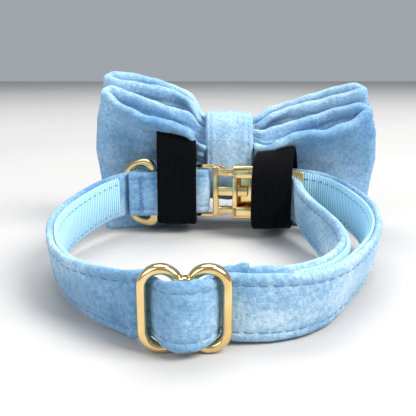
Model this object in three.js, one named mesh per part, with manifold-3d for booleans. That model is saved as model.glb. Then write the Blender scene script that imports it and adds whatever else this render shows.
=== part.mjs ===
// Pet bow tie collar: a velvet band with its lining, slide, buckle and D ring, and a double bow held by two
// elastic bands. Millimetres, +Z up. X runs along the back of the collar, Y from the slide to the bow.
import * as THREE from 'three';
import { mergeVertices } from 'three/addons/utils/BufferGeometryUtils.js';
import Module from 'manifold-3d';

const wasm = await Module();
wasm.setup();

// Driving dimensions: clearances
const seamGap = 0.3;

// Driving dimensions: strap and lining
const strapWidth = 15;
const velvetThick = 2;
const pressedShare = 0.5;
const liningThick = 0.8;
const liningWidth = 13;
const loopWidth = 89.4;
const loopDepth = 90.4;
const loopCentreX = 2.7;
const frontY = 1.5;
const frontLift = 0.4;
const backLift = 6.8;
const leanMost = 4;
const tailLength = 13;
const returnLength = 24;

// Driving dimensions: slide
const slideX = -4.6;
const slideWidth = 19;
const slideRoom = 1.8;
const slideHeight = strapWidth + 2 * slideRoom;
const slideDepth = 2.8;
const slideWire = 2.1;
const slideNotch = 2.6;
const pinDiameter = 1.6;
const slideRearY = 0.2;
const slideEase = 0.45;
const slideLift = 1.6;
const crossShare = 0.78;
const wrapShare = 0.6;

// Driving dimensions: buckle
const buckleX = -5;
const railWall = 1.2;
const buckleHeight = strapWidth + 2 * (seamGap + railWall);
const buckleYaw = -0.152;
const maleBarWidth = 2.2;
const maleBarThick = 1.8;
const maleBarAt = 2.5;
const maleSlot = 3.3;
const maleBase = 1.9;
const maleReach = 12;
const armHeight = 2;
const tongueHeight = 3;
const buttonLength = 3.4;
const mouthGap = 0.9;
const bodyLength = 10;
const bodyThick = 5.4;
const bodyWall = 1.2;
const femaleSlot = 4.4;
const endPlateLength = 9;
const endPlateThick = 1.8;

// Driving dimensions: D ring
const ringDepth = 14;
const ringBand = 2.8;
const ringRoom = 1.5;
const ringHeight = strapWidth + 2 * (ringBand + ringRoom);
const ringThick = 1.8;
const ringBarX = -18.7;
const ringYaw = -0.33;
const ringDroop = -0.06;
const ringSag = 0.6;
const ringSlack = 1;
const ringCorner = 3.4;
const ringEase = 0.35;

// Driving dimensions: bow, knot and elastics
const bowX = 7.4;
const bowLeftReach = 44.7;
const bowRightReach = 49.3;
const backBowHeight = 44.1;
const frontBowHeight = 49.5;
const backBowRoll = 0.068;
const frontBowRoll = 0.041;
const rimDrop = 1.4;
const backLeftSlump = 3;
const backRightSlump = 2;
const pinchClear = 2.4;
const pinchStep = 2;
const bowDepth = 20;
const bowStandoff = 3.6;
const bowPlaneY = frontY + loopDepth + bowStandoff;
const panelThick = 3;
const pinchedThick = 2.4;
const foldRadius = 1.95;
const knotWidth = 16.4;
const knotThick = 2;
const knotBottom = 9.5;
const knotTop = 39.6;
const elasticWidth = 13;
const elasticThick = 1.2;
const elasticSlack = 0.5;
const leftElasticX = -10.4;
const leftElasticTop = 32.2;
const leftElasticSlope = 0.2;
const rightElasticX = 20.4;
const rightElasticTop = 27.4;
const rightElasticSlope = -0.06;
const rightElasticSkew = 4.5;
const rightElasticBulge = 2.8;

// The slide and the buckle in plan, which the strap is threaded round
const pinRadius = pinDiameter / 2;
const pin = new THREE.Vector2(slideX, slideRearY - pinRadius);
const liningStep = velvetThick / 2 + seamGap + liningThick / 2;
const returnTurn = maleBarThick / 2 + seamGap + velvetThick / 2;
const femaleTurn = endPlateThick / 2 + 2 * seamGap + liningThick + velvetThick / 2;
const wrapTurn = pinRadius + seamGap + (velvetThick * pressedShare) / 2;
const strapBackY = frontY + loopDepth;
const maleBarY = strapBackY - returnTurn;
const ringY = strapBackY - velvetThick / 2 - ringSlack - ringThick / 2;
const returnedY = ringY - ringThick / 2 - ringSlack - velvetThick / 2;
const femaleU = maleBarAt + maleBarWidth / 2 + maleSlot + maleBase + mouthGap + maleReach / 3;
const plateU = femaleU + bodyLength + femaleSlot;

// Plan position of a point u along the buckle and v across its thickness
function onBuckle(u, v) {
  const origin = new THREE.Vector2(buckleX, maleBarY - maleBarAt * Math.sin(buckleYaw));
  return new THREE.Vector2(u, v).rotateAround(new THREE.Vector2(), buckleYaw).add(origin);
}

// Meshes

function meshFrom(name, positions, triangles, material) {
  const geometry = new THREE.BufferGeometry();
  geometry.setAttribute('position', new THREE.Float32BufferAttribute(positions, 3));
  geometry.setIndex(triangles);
  geometry.computeVertexNormals();
  const mesh = new THREE.Mesh(geometry, material);
  mesh.name = name;
  return mesh;
}

// A closed body through rings of points, either capped at its ends or joined into a loop
function loft(rings, isLoop) {
  const size = rings[0].length;
  const positions = rings.flat().flatMap((p) => [p.x, p.y, p.z]);
  const triangles = [];
  const bands = isLoop ? rings.length : rings.length - 1;
  for (let i = 0; i < bands; i++) {
    const a = i * size;
    const b = ((i + 1) % rings.length) * size;
    for (let j = 0; j < size; j++) {
      const k = (j + 1) % size;
      triangles.push(a + j, b + j, b + k, a + j, b + k, a + k);
    }
  }
  if (!isLoop) {
    const last = (rings.length - 1) * size;
    for (let j = 1; j < size - 1; j++) {
      triangles.push(0, j, j + 1);
      triangles.push(last, last + j + 1, last + j);
    }
  }
  return { positions, triangles };
}

// Turns the faces of a closed body outwards when its volume comes out negative
function outward({ positions, triangles }) {
  const corner = (i) => new THREE.Vector3().fromArray(positions, 3 * i);
  let volume = 0;
  for (let i = 0; i < triangles.length; i += 3) {
    const [a, b, c] = [corner(triangles[i]), corner(triangles[i + 1]), corner(triangles[i + 2])];
    volume += a.dot(b.cross(c));
  }
  if (volume > 0) return { positions, triangles };
  const flipped = [];
  for (let i = 0; i < triangles.length; i += 3) {
    flipped.push(triangles[i], triangles[i + 2], triangles[i + 1]);
  }
  return { positions, triangles: flipped };
}

function loftMesh(name, rings, isLoop, material) {
  const { positions, triangles } = outward(loft(rings, isLoop));
  return meshFrom(name, positions, triangles, material);
}

function toSolid(geometry) {
  const bare = geometry.clone();
  bare.deleteAttribute('normal');
  bare.deleteAttribute('uv');
  const merged = mergeVertices(bare, 1e-4);
  const triVerts = merged.index
    ? Uint32Array.from(merged.index.array)
    : Uint32Array.from({ length: merged.attributes.position.count }, (_, i) => i);
  const vertProperties = Float32Array.from(merged.attributes.position.array);
  return new wasm.Manifold(new wasm.Mesh({ numProp: 3, vertProperties, triVerts }));
}

function solidMesh(name, solid, material) {
  const { vertProperties, triVerts } = solid.getMesh();
  return meshFrom(name, Array.from(vertProperties), Array.from(triVerts), material);
}

function cloth(color, roughness = 0.9) {
  return new THREE.MeshStandardMaterial({ color, roughness, metalness: 0 });
}

const velvet = () => cloth(0x7ea9d2);
const webbing = () => cloth(0x9cc9e2);
const elastic = () => cloth(0x0c0c0e, 0.95);
const gold = () => new THREE.MeshStandardMaterial({ color: 0xe8cf94, roughness: 0.22, metalness: 1 });

// Strap: one long ribbon. Each row is a point of the velvet's centre line at its bottom edge. x and y are
// shares of the loop's half width and depth, lift is a share of the back's lift, lean of the most lean.
const leftRoute = [
  { x: -0.56, y: 0.997, lift: 0.92, lean: 0 },
  { x: -0.655, y: 0.967, lift: 0.88, lean: 0 },
  { x: -0.75, y: 0.91, lift: 0.82, lean: 0 },
  { x: -0.84, y: 0.84, lift: 0.7, lean: 0 },
  { x: -0.93, y: 0.735, lift: 0.5, lean: 0 },
  { x: -0.99, y: 0.61, lift: 0.3, lean: 0.05 },
  { x: -0.985, y: 0.475, lift: 0.15, lean: 0.2 },
  { x: -0.92, y: 0.375, lift: 0.08, lean: 0.5 },
  { x: -0.82, y: 0.275, lift: 0.03, lean: 0.9 },
  { x: -0.715, y: 0.19, lift: 0, lean: 1 },
  { x: -0.575, y: 0.105, lift: 0, lean: 0.7 },
  { x: -0.43, y: 0.04, lift: 0, lean: 0.25 },
];
const rightRoute = [
  { x: 0.2, y: 0.012, lift: 0, lean: 0.1 },
  { x: 0.35, y: 0.035, lift: 0, lean: 0.4 },
  { x: 0.47, y: 0.08, lift: 0, lean: 0.7 },
  { x: 0.575, y: 0.15, lift: 0, lean: 0.9 },
  { x: 0.73, y: 0.285, lift: 0.03, lean: 0.95 },
  { x: 0.87, y: 0.415, lift: 0.08, lean: 0.7 },
  { x: 0.96, y: 0.535, lift: 0.15, lean: 0.4 },
  { x: 1, y: 0.66, lift: 0.3, lean: 0.15 },
  { x: 0.975, y: 0.785, lift: 0.5, lean: 0 },
  { x: 0.9, y: 0.89, lift: 0.7, lean: 0 },
  { x: 0.78, y: 0.955, lift: 0.88, lean: 0 },
  { x: 0.64, y: 0.975, lift: 0.97, lean: 0 },
];
const innerRoute = [
  { x: 0.585, y: 0.868, lift: 0.82, lean: -0.3 },
  { x: 0.62, y: 0.8, lift: 0.58, lean: -0.5 },
  { x: 0.645, y: 0.7, lift: 0.35, lean: -0.35 },
  { x: 0.675, y: 0.59, lift: 0.18, lean: -0.1 },
  { x: 0.68, y: 0.49, lift: 0.08, lean: 0.25 },
  { x: 0.655, y: 0.39, lift: 0, lean: 0.6 },
  { x: 0.59, y: 0.285, lift: 0, lean: 0.85 },
  { x: 0.49, y: 0.195, lift: 0, lean: 0.9 },
  { x: 0.385, y: 0.125, lift: 0, lean: 0.7 },
  { x: 0.3, y: 0.085, lift: 0, lean: 0.45 },
];

function routePoint({ x, y, lift, lean }) {
  return {
    x: loopCentreX + (x * loopWidth) / 2,
    y: frontY + y * loopDepth,
    lift: frontLift + lift * (backLift - frontLift),
    lean: lean * leanMost,
    full: 1,
    wide: 1,
  };
}

// Points on a half turn about a centre, counter-clockwise from one angle, in degrees
function turnPoints(centre, radius, from, lift, full, wide = 1, steps = 6) {
  return Array.from({ length: steps + 1 }, (_, i) => {
    const angle = THREE.MathUtils.degToRad(from + (180 * i) / steps);
    return {
      x: centre.x + radius * Math.cos(angle),
      y: centre.y + radius * Math.sin(angle),
      lift,
      lean: 0,
      full,
      wide,
    };
  });
}

function strapPoints() {
  const male = onBuckle(maleBarAt, 0);
  const plate = onBuckle(plateU, 0);
  const flat = (x, y, lift, full = 1, wide = 1) => ({ x, y, lift, lean: 0, full, wide });
  const returned = [
    flat(male.x - returnLength, returnedY + 0.2, backLift * 0.9),
    flat(ringBarX - ringBand / 2, returnedY, backLift * 0.92),
    flat(ringBarX + ringBand, returnedY, backLift * 0.95),
    flat(male.x - 6, male.y - returnTurn, backLift),
  ];
  const maleTurn = turnPoints(male, returnTurn, -90, backLift, 1);
  const outerBack = [
    flat(male.x - 8, male.y + returnTurn, backLift),
    flat(ringBarX, ringY + ringThick / 2 + ringSlack + velvetThick / 2, backLift * 0.94),
  ];
  const sideBar = slideWidth / 2 - slideWire / 2;
  const behindBar = slideRearY + seamGap + velvetThick / 2;
  const overPin = pin.y - wrapTurn - (velvetThick * pressedShare) / 2 - 2 * seamGap - liningThick;
  const crestY = overPin - velvetThick / 2;
  const slideWeave = [
    flat(slideX - sideBar - 2.4, behindBar + 1.4, frontLift + 0.5),
    flat(slideX - sideBar + 0.2, behindBar + 0.4, slideLift, 0.9, 0.92),
    flat(slideX - sideBar + 2.2, behindBar - 1.3, slideLift, 0.8, crossShare),
    flat(slideX - sideBar + 4.2, crestY + 1.9, slideLift, 0.8, 0.84),
    flat(slideX - 2, crestY + 0.2, slideLift, 0.8, 0.95),
    flat(slideX + 0.6, crestY + 0.1, slideLift, 0.8, 0.95),
    flat(slideX + 3.2, crestY + 1.3, slideLift, 0.8, 0.84),
    flat(slideX + sideBar - 2.9, behindBar - 3.1, slideLift, 0.8, crossShare),
    flat(slideX + sideBar - 1.5, behindBar, slideLift, 0.8, crossShare),
    flat(slideX + sideBar + 0.6, behindBar + 0.4, frontLift + 0.5, 1, 0.98),
  ];
  const plateTurn = turnPoints(plate, femaleTurn, 90, backLift, 1);
  const liningSide = behindBar + liningStep + liningThick / 2 + seamGap;
  const tailY = liningSide + (velvetThick * pressedShare) / 2 + 0.3;
  const innerY = tailY + velvetThick * pressedShare + seamGap;
  const wrapLift = slideLift;
  const press = pressedShare;
  const inner = [
    flat(slideX + tailLength + 1, innerY + 0.5, frontLift, press * 1.4),
    flat(slideX + sideBar, innerY - 0.2, wrapLift, press, 0.9),
    flat(slideX + sideBar - 2.4, innerY - 0.7, wrapLift, press, crossShare),
    flat(slideX + 3.25, innerY - 2.6, wrapLift, press, wrapShare),
    flat(slideX + 1.6, innerY - 4.4, wrapLift, press, wrapShare),
  ];
  const wrap = turnPoints(pin, wrapTurn, 90, wrapLift, press, wrapShare, 8);
  const tail = [
    flat(slideX + 1.35, pin.y - wrapTurn + 0.8, wrapLift, press, wrapShare),
    flat(slideX + 2.5, tailY - 4.4, wrapLift, press, wrapShare),
    flat(slideX + 4.3, tailY - 2.1, wrapLift, press, wrapShare),
    flat(slideX + 6.6, tailY - 0.5, wrapLift, press, crossShare),
    flat(slideX + tailLength - 2, tailY + 0.1, wrapLift, press),
    flat(slideX + tailLength, tailY + 0.3, wrapLift, press),
  ];
  const groups = [
    returned, maleTurn, outerBack, leftRoute.map(routePoint), slideWeave, rightRoute.map(routePoint),
    plateTurn, innerRoute.map(routePoint), inner, wrap, tail,
  ];
  const starts = groups.map((_, i) => groups.slice(0, i).reduce((sum, g) => sum + g.length, 0));
  return { points: groups.flat(), liningFrom: starts[3] + 2, liningTo: starts[8] - 1 };
}

// Stations along the ribbon: a centre point at the bottom edge, the axis across the width, the velvet's face
function strapStations({ points }, from, to, longest = 4.5) {
  const curve = new THREE.CatmullRomCurve3(points.map((p) => new THREE.Vector3(p.x, p.y, p.lift)));
  const extra = new THREE.CatmullRomCurve3(points.map((p) => new THREE.Vector3(p.lean, p.full, p.wide)));
  const last = points.length - 1;
  const stations = [];
  const station = (t) => {
    const foot = curve.getPoint(t);
    const { x: lean, y: full, z: wide } = extra.getPoint(t);
    foot.z += (strapWidth * (1 - wide)) / 2;
    const along = curve.getTangent(t).setZ(0).normalize();
    const face = new THREE.Vector3(along.y, -along.x, 0);
    const outside = Math.sign(face.dot(new THREE.Vector3(foot.x - loopCentreX, foot.y - loopDepth / 2, 0)));
    const tilt = (lean * outside) / strapWidth;
    const across = new THREE.Vector3(0, 0, Math.sqrt(1 - tilt * tilt)).addScaledVector(face, tilt);
    const level = face.clone().multiplyScalar(across.z).add(new THREE.Vector3(0, 0, -tilt));
    stations.push({ foot, across, face: level, full, wide });
  };
  for (let i = from; i < to; i++) {
    const length = Math.hypot(points[i + 1].x - points[i].x, points[i + 1].y - points[i].y);
    const steps = Math.max(1, Math.ceil(length / longest));
    for (let k = 0; k < steps; k++) station((i + k / steps) / last);
  }
  station(to / last);
  return stations;
}

// A ribbon's rings: its section lies between two offsets from the centre line, with rounded edges
function ribbonRings(stations, section) {
  return stations.map(({ foot, across, face, full, wide }) =>
    section(full, wide).map(([a, b]) => foot.clone().addScaledVector(face, a).addScaledVector(across, b)));
}

function velvetSection(full, wide) {
  const half = (velvetThick * full) / 2;
  const round = velvetThick * 0.45;
  const top = strapWidth * wide;
  return [
    [half, round], [half, top - round], [half / 2, top], [-half / 2, top],
    [-half, top - round], [-half, round], [-half / 2, 0], [half / 2, 0],
  ];
}

function liningSection(full, wide) {
  const near = -(velvetThick * full) / 2 - seamGap;
  const far = near - liningThick;
  const margin = (strapWidth - liningWidth) / 2;
  const top = strapWidth * wide - margin;
  return [[near, margin], [near, top], [far, top], [far, margin]];
}

function makeStrap() {
  const route = strapPoints();
  const whole = strapStations(route, 0, route.points.length - 1);
  const lined = strapStations(route, route.liningFrom, route.liningTo);
  return [
    loftMesh('velvet_strap', ribbonRings(whole, velvetSection), false, velvet()),
    loftMesh('webbing_lining', ribbonRings(lined, liningSection), false, webbing()),
  ];
}

// A flat frame between two outlines with as many points each, its four long edges eased
function frameRings(outer, inner, depth, ease) {
  const half = depth / 2;
  return outer.map((o, i) => {
    const n = inner[i];
    const step = n.clone().sub(o).setLength(ease);
    const at = (point, z) => new THREE.Vector3(point.x, point.y, z);
    const [oIn, nIn] = [o.clone().add(step), n.clone().sub(step)];
    return [
      at(o, ease - half), at(o, half - ease), at(oIn, half), at(nIn, half),
      at(n, half - ease), at(n, ease - half), at(nIn, -half), at(oIn, -half),
    ];
  });
}

function arcPoints(centre, radius, from, to, steps) {
  return Array.from({ length: steps + 1 }, (_, i) => {
    const angle = from + ((to - from) * i) / steps;
    return new THREE.Vector2(centre.x + radius.x * Math.cos(angle), centre.y + radius.y * Math.sin(angle));
  });
}

// Slide: a square frame with two round lobes at the top and at the bottom, and a round pin across its middle
function lobedOutline(wire) {
  const lobe = slideWidth / 4 - wire;
  const across = slideWidth / 4;
  const side = slideHeight / 2 - slideWidth / 4;
  const reach = Math.asin(Math.min(0.95, (slideWidth / 4 - slideNotch) / (slideWidth / 4)));
  const top = [
    ...arcPoints({ x: across, y: side }, { x: lobe, y: lobe }, 0, Math.PI - reach, 8),
    ...arcPoints({ x: -across, y: side }, { x: lobe, y: lobe }, reach, Math.PI, 8),
  ];
  return [...top, ...top.map((point) => point.clone().negate())];
}

function extrude(points, depth) {
  const geometry = new THREE.ExtrudeGeometry(new THREE.Shape(points), { depth, bevelEnabled: false });
  return geometry.translate(0, 0, -depth / 2);
}

function makeSlide() {
  const rings = frameRings(lobedOutline(0), lobedOutline(slideWire), slideDepth, slideEase);
  const { positions, triangles } = outward(loft(rings, true));
  const frame = toSolid(meshFrom('frame', positions, triangles).geometry);
  const rod = new THREE.CylinderGeometry(pinRadius, pinRadius, slideHeight - 2 * (slideNotch + slideEase), 10);
  rod.translate(0, 0, pinRadius - slideDepth / 2);
  const mesh = solidMesh('slide_adjuster', frame.add(toSolid(rod)), gold());
  mesh.rotation.x = Math.PI / 2;
  mesh.position.set(slideX, slideRearY - slideDepth / 2, slideHeight / 2);
  return mesh;
}

// Buckle: plates drawn in u along the buckle and w up, extruded across its thickness
const railInner = strapWidth / 2 + seamGap;

function box(u0, u1, w0, w1, thick, v = 0) {
  const geometry = new THREE.BoxGeometry(u1 - u0, w1 - w0, thick);
  geometry.translate((u0 + u1) / 2, (w0 + w1) / 2, v);
  return toSolid(geometry);
}

function rod(u, half, radius) {
  const geometry = new THREE.CylinderGeometry(radius, radius, 2 * half, 10);
  return toSolid(geometry.translate(u, 0, 0));
}

function plate(points, thick) {
  return toSolid(extrude(points.map(([u, w]) => new THREE.Vector2(u, w)), thick));
}

function placeBuckle(mesh) {
  const foot = onBuckle(0, 0);
  mesh.rotation.order = 'ZYX';
  mesh.rotation.set(Math.PI / 2, 0, buckleYaw);
  mesh.position.set(foot.x, foot.y, backLift + strapWidth / 2);
  return mesh;
}

function mirrored(make) {
  return make(1).add(make(-1));
}

function makeMale() {
  const half = buckleHeight / 2;
  const barEnd = maleBarAt + maleBarWidth / 2;
  const baseAt = barEnd + maleSlot;
  const baseEnd = baseAt + maleBase;
  const mouth = femaleU;
  const bar = rod(maleBarAt, half, maleBarThick / 2);
  const base = box(baseAt, baseEnd, -half * 0.94, half * 0.94, maleBarThick * 1.4);
  const rails = mirrored((side) => {
    const [low, high] = [side * railInner, side * half].sort((a, b) => a - b);
    return box(maleBarAt - maleBarWidth / 2, baseAt + 0.5, low, high, maleBarThick * 1.2);
  });
  const tongue = box(baseEnd - 0.5, mouth + maleReach * 0.5, -tongueHeight / 2, tongueHeight / 2, maleBarThick);
  const arms = mirrored((side) => plate([
    [baseEnd - 0.5, side * tongueHeight * 0.4],
    [baseEnd + buttonLength * 0.4, side * half * 0.62],
    [baseEnd + buttonLength * 0.4, side * half],
    [baseEnd + buttonLength * 0.4 + buttonLength * 0.5, side * half],
    [mouth - mouthGap * 0.5, side * (half - bodyWall - armHeight * 0.6)],
    [mouth + maleReach * 0.3, side * (half - bodyWall - armHeight * 0.8)],
    [mouth + maleReach * 0.5, side * (half - bodyWall - armHeight * 1.7)],
    [mouth + maleReach * 0.1, side * (half - bodyWall - armHeight * 1.8)],
    [baseEnd + buttonLength * 1.1, side * tongueHeight * 0.4],
  ], maleBarThick));
  return placeBuckle(solidMesh('buckle_male', bar.add(base).add(rails).add(tongue).add(arms), gold()));
}

function makeFemale() {
  const half = buckleHeight / 2;
  const bodyEnd = femaleU + bodyLength;
  const cavity = half - bodyWall;
  const body = box(femaleU, bodyEnd, -half, half, bodyThick);
  const hollow = box(femaleU - 1, bodyEnd - bodyWall, -cavity, cavity, bodyThick - 2 * bodyWall);
  const windowHigh = cavity * 0.6;
  const windowStart = femaleU + bodyWall * 1.5;
  const windowEnd = bodyEnd - bodyWall * 2.5;
  const window = box(windowStart, windowEnd, -windowHigh, windowHigh, bodyThick * 2, -bodyThick);
  const plateEnd = plateU + endPlateLength;
  const rails = mirrored((side) => {
    const [low, high] = [side * railInner, side * half].sort((a, b) => a - b);
    return box(bodyEnd - 0.5, plateU + 1.5, low, high, endPlateThick * 1.2);
  });
  const end = plate([
    [plateU, -half], [plateU + endPlateLength * 0.3, -half], [plateEnd, -half * 0.8],
    [plateEnd, half * 0.8], [plateU + endPlateLength * 0.3, half], [plateU, half],
  ], endPlateThick);
  const edge = rod(plateU, half, endPlateThick / 2);
  const solid = body.subtract(hollow).subtract(window).add(rails).add(end).add(edge);
  return placeBuckle(solidMesh('buckle_female', solid, gold()));
}

// D ring: a straight bar with a round bow, drawn from the bar's centre with the round side to the left
function ringOutline(wire) {
  const half = ringHeight / 2;
  const corner = ringCorner - wire * 0.6;
  const right = ringBand / 2 - wire;
  const across = right - corner;
  const high = half - wire;
  const reach = ringDepth - ringBand / 2 - wire + across;
  return [
    ...arcPoints({ x: across, y: high - corner }, { x: corner, y: corner }, 0, Math.PI / 2, 4),
    ...arcPoints({ x: across, y: 0 }, { x: reach, y: high }, Math.PI / 2, 1.5 * Math.PI, 16).slice(1, -1),
    ...arcPoints({ x: across, y: corner - high }, { x: corner, y: corner }, 1.5 * Math.PI, 2 * Math.PI, 4),
  ];
}

function makeRing() {
  const rings = frameRings(ringOutline(0), ringOutline(ringBand), ringThick, ringEase);
  const mesh = loftMesh('d_ring', rings, true, gold());
  mesh.rotation.order = 'ZYX';
  mesh.rotation.set(Math.PI / 2, ringDroop, ringYaw);
  mesh.position.set(ringBarX, ringY, backLift + strapWidth / 2 - ringSag);
  return mesh;
}

// Bows. Columns: rise is a share of the height, the rest are shares of the bow's depth from its plane.
// neck is just outside the knot, wing the middle of each side, end where the two panels meet in the fold.
const backBowRows = [
  { rise: 0, nearNeck: 0.1, farNeck: 0.33, nearWing: 0.02, farWing: 0.22, end: 0 },
  { rise: 0.1, nearNeck: 0.14, farNeck: 0.38, nearWing: 0.14, farWing: 0.36, end: 0.08 },
  { rise: 0.28, nearNeck: 0.14, farNeck: 0.41, nearWing: 0.14, farWing: 0.42, end: 0.12 },
  { rise: 0.46, nearNeck: 0.14, farNeck: 0.41, nearWing: 0.14, farWing: 0.42, end: 0.1 },
  { rise: 0.62, nearNeck: 0.13, farNeck: 0.4, nearWing: 0.13, farWing: 0.4, end: 0.02 },
  { rise: 0.76, nearNeck: 0.1, farNeck: 0.37, nearWing: -0.01, farWing: 0.32, end: -0.06 },
  { rise: 0.88, nearNeck: -0.11, farNeck: 0.3, nearWing: -0.28, farWing: 0.2, end: -0.14 },
  { rise: 1, nearNeck: -0.55, farNeck: 0.2, nearWing: -0.58, farWing: 0.06, end: -0.2 },
];
const frontBowRows = [
  { rise: 0, nearNeck: 0.53, farNeck: 0.78, nearWing: 0.42, farWing: 0.68, end: 0.38 },
  { rise: 0.1, nearNeck: 0.61, farNeck: 0.88, nearWing: 0.58, farWing: 0.9, end: 0.46 },
  { rise: 0.28, nearNeck: 0.63, farNeck: 0.94, nearWing: 0.64, farWing: 1.06, end: 0.5 },
  { rise: 0.46, nearNeck: 0.63, farNeck: 0.96, nearWing: 0.64, farWing: 1.1, end: 0.48 },
  { rise: 0.62, nearNeck: 0.62, farNeck: 0.94, nearWing: 0.61, farWing: 1.02, end: 0.4 },
  { rise: 0.76, nearNeck: 0.59, farNeck: 0.88, nearWing: 0.53, farWing: 0.88, end: 0.32 },
  { rise: 0.88, nearNeck: 0.52, farNeck: 0.78, nearWing: 0.4, farWing: 0.68, end: 0.24 },
  { rise: 1, nearNeck: 0.42, farNeck: 0.67, nearWing: 0.27, farWing: 0.5, end: 0.18 },
];
// Heights along a side: wing is a share of the reach, the rest are shares of that bow's height
const heightRows = [
  { wing: 0.2, backLeft: 0.76, backRight: 0.69, frontLeft: 0.8, frontRight: 0.75, bottom: 0.2 },
  { wing: 0.35, backLeft: 0.84, backRight: 0.76, frontLeft: 0.89, frontRight: 0.8, bottom: 0.09 },
  { wing: 0.45, backLeft: 0.87, backRight: 0.81, frontLeft: 0.925, frontRight: 0.84, bottom: 0.03 },
  { wing: 0.6, backLeft: 0.91, backRight: 0.87, frontLeft: 0.965, frontRight: 0.9, bottom: 0 },
  { wing: 0.8, backLeft: 0.96, backRight: 0.95, frontLeft: 0.995, frontRight: 0.965, bottom: 0 },
  { wing: 0.95, backLeft: 1, backRight: 1, frontLeft: 1, frontRight: 1, bottom: 0 },
  { wing: 1, backLeft: 0.985, backRight: 0.985, frontLeft: 0.985, frontRight: 0.985, bottom: 0 },
];
// How far the ends reach out at each rise, as a share of the widest
const endRows = [
  { rise: 0, reach: 0.94 },
  { rise: 0.3, reach: 0.97 },
  { rise: 0.6, reach: 1 },
  { rise: 0.8, reach: 0.98 },
  { rise: 1, reach: 0.935 },
];

function readRows(rows, key, at, column) {
  const index = Math.min(rows.length - 2, Math.max(0, rows.findIndex((row) => row[key] > at) - 1));
  const found = at >= rows[rows.length - 1][key] ? rows.length - 2 : index;
  const [a, b] = [rows[found], rows[found + 1]];
  const t = THREE.MathUtils.clamp((at - a[key]) / (b[key] - a[key]), 0, 1);
  return THREE.MathUtils.lerp(a[column], b[column], THREE.MathUtils.smoothstep(t, 0, 1) * 0.5 + t * 0.5);
}

const knotShare = 0.23;
const neckShare = 0.31;
const wingShare = 0.6;
const slumpShare = 0.75;

// Middle surface of a bow: a point at a signed share of the reach, a rise, and a side from -1 near to 1 far
function bowPoint(bow, share, rise, side) {
  const wing = Math.abs(share);
  const reach = share < 0 ? bowLeftReach : bowRightReach;
  const read = (column) => readRows(bow.rows, 'rise', rise, column) * bowDepth;
  const knotNear = bow.knotMid - pinchedThick / 2 - seamGap / 2;
  const knotFar = bow.knotMid + pinchedThick / 2 + seamGap / 2;
  const intoNeck = THREE.MathUtils.smoothstep(wing, knotShare, neckShare);
  const intoWing = THREE.MathUtils.smoothstep(wing, neckShare, wingShare);
  const intoEnd = THREE.MathUtils.smoothstep(wing, wingShare, 1);
  const lerp = THREE.MathUtils.lerp;
  let near = lerp(knotNear, lerp(read('nearNeck'), read('nearWing'), intoWing), intoNeck);
  let far = lerp(knotFar, lerp(read('farNeck'), read('farWing'), intoWing), intoNeck);
  near = lerp(near, read('end') - foldRadius, intoEnd);
  far = lerp(far, read('end') + foldRadius, intoEnd);
  const outward = THREE.MathUtils.smoothstep(wing, neckShare, 1);
  const lean = lerp(1, readRows(endRows, 'rise', rise, 'reach'), outward);
  const x = bowX + share * reach * lean;
  const rolled = bow.height * (1 - bow.roll * share);
  const openTop = readRows(heightRows, 'wing', wing, share < 0 ? bow.left : bow.right) * rolled;
  const openBottom = readRows(heightRows, 'wing', wing, 'bottom') * bow.height;
  const pastSlump = THREE.MathUtils.smoothstep(wing, neckShare, slumpShare);
  const sinking = THREE.MathUtils.smoothstep(wing, 0, knotShare) * (1 - pastSlump);
  const slump = ((share < 0 ? bow.leftSlump : bow.rightSlump) * sinking * (1 - side)) / 2;
  const pinchTop = knotTop - knotThick - pinchClear - pinchStep * (bow.layer + (1 - side) / 2);
  const top = lerp(pinchTop, openTop, intoNeck) - slump;
  const bottom = lerp(knotBottom + knotThick + pinchClear, openBottom, intoNeck);
  const raised = (bow.drop * intoNeck * (side + 1)) / 2;
  const z = lerp(bottom, top + raised * rise, rise);
  return new THREE.Vector3(x, bowPlaneY + lerp(near, far, (side + 1) / 2), z);
}

function bowStations() {
  const edge = 1 - foldRadius / bowLeftReach;
  const panelSteps = 22;
  const foldSteps = 5;
  const stations = [];
  for (const way of [1, -1]) {
    for (let i = 0; i <= panelSteps; i++) {
      stations.push({ share: way * edge * (1 - (2 * i) / panelSteps), side: -way });
    }
    for (let i = 1; i < foldSteps; i++) {
      const angle = (Math.PI * i) / foldSteps;
      stations.push({ share: -way * (edge + (1 - edge) * Math.sin(angle)), side: -way * Math.cos(angle) });
    }
  }
  return stations;
}

function makeBow(name, bow) {
  const stations = bowStations();
  const rises = bow.rows.map((row) => row.rise);
  const grid = stations.map(({ share, side }) => rises.map((rise) => bowPoint(bow, share, rise, side)));
  const count = stations.length;
  const rings = grid.map((column, i) => {
    const before = grid[(i + count - 1) % count];
    const after = grid[(i + 1) % count];
    const pinch = THREE.MathUtils.smoothstep(Math.abs(stations[i].share), knotShare, neckShare);
    const half = THREE.MathUtils.lerp(pinchedThick, panelThick, pinch) / 2;
    const normals = column.map((point, j) => {
      const along = after[j].clone().sub(before[j]);
      const up = column[Math.min(j + 1, column.length - 1)].clone().sub(column[Math.max(j - 1, 0)]);
      const normal = along.cross(up);
      if (j === 0) normal.z = 0;
      return normal.normalize();
    });
    const outer = column.map((point, j) => point.clone().addScaledVector(normals[j], half));
    const inner = column.map((point, j) => point.clone().addScaledVector(normals[j], -half));
    const rim = column[column.length - 1].clone().add(new THREE.Vector3(0, 0, half * 0.7));
    return [...outer, rim, ...inner.reverse()];
  });
  return loftMesh(name, rings, true, velvet());
}

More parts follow.
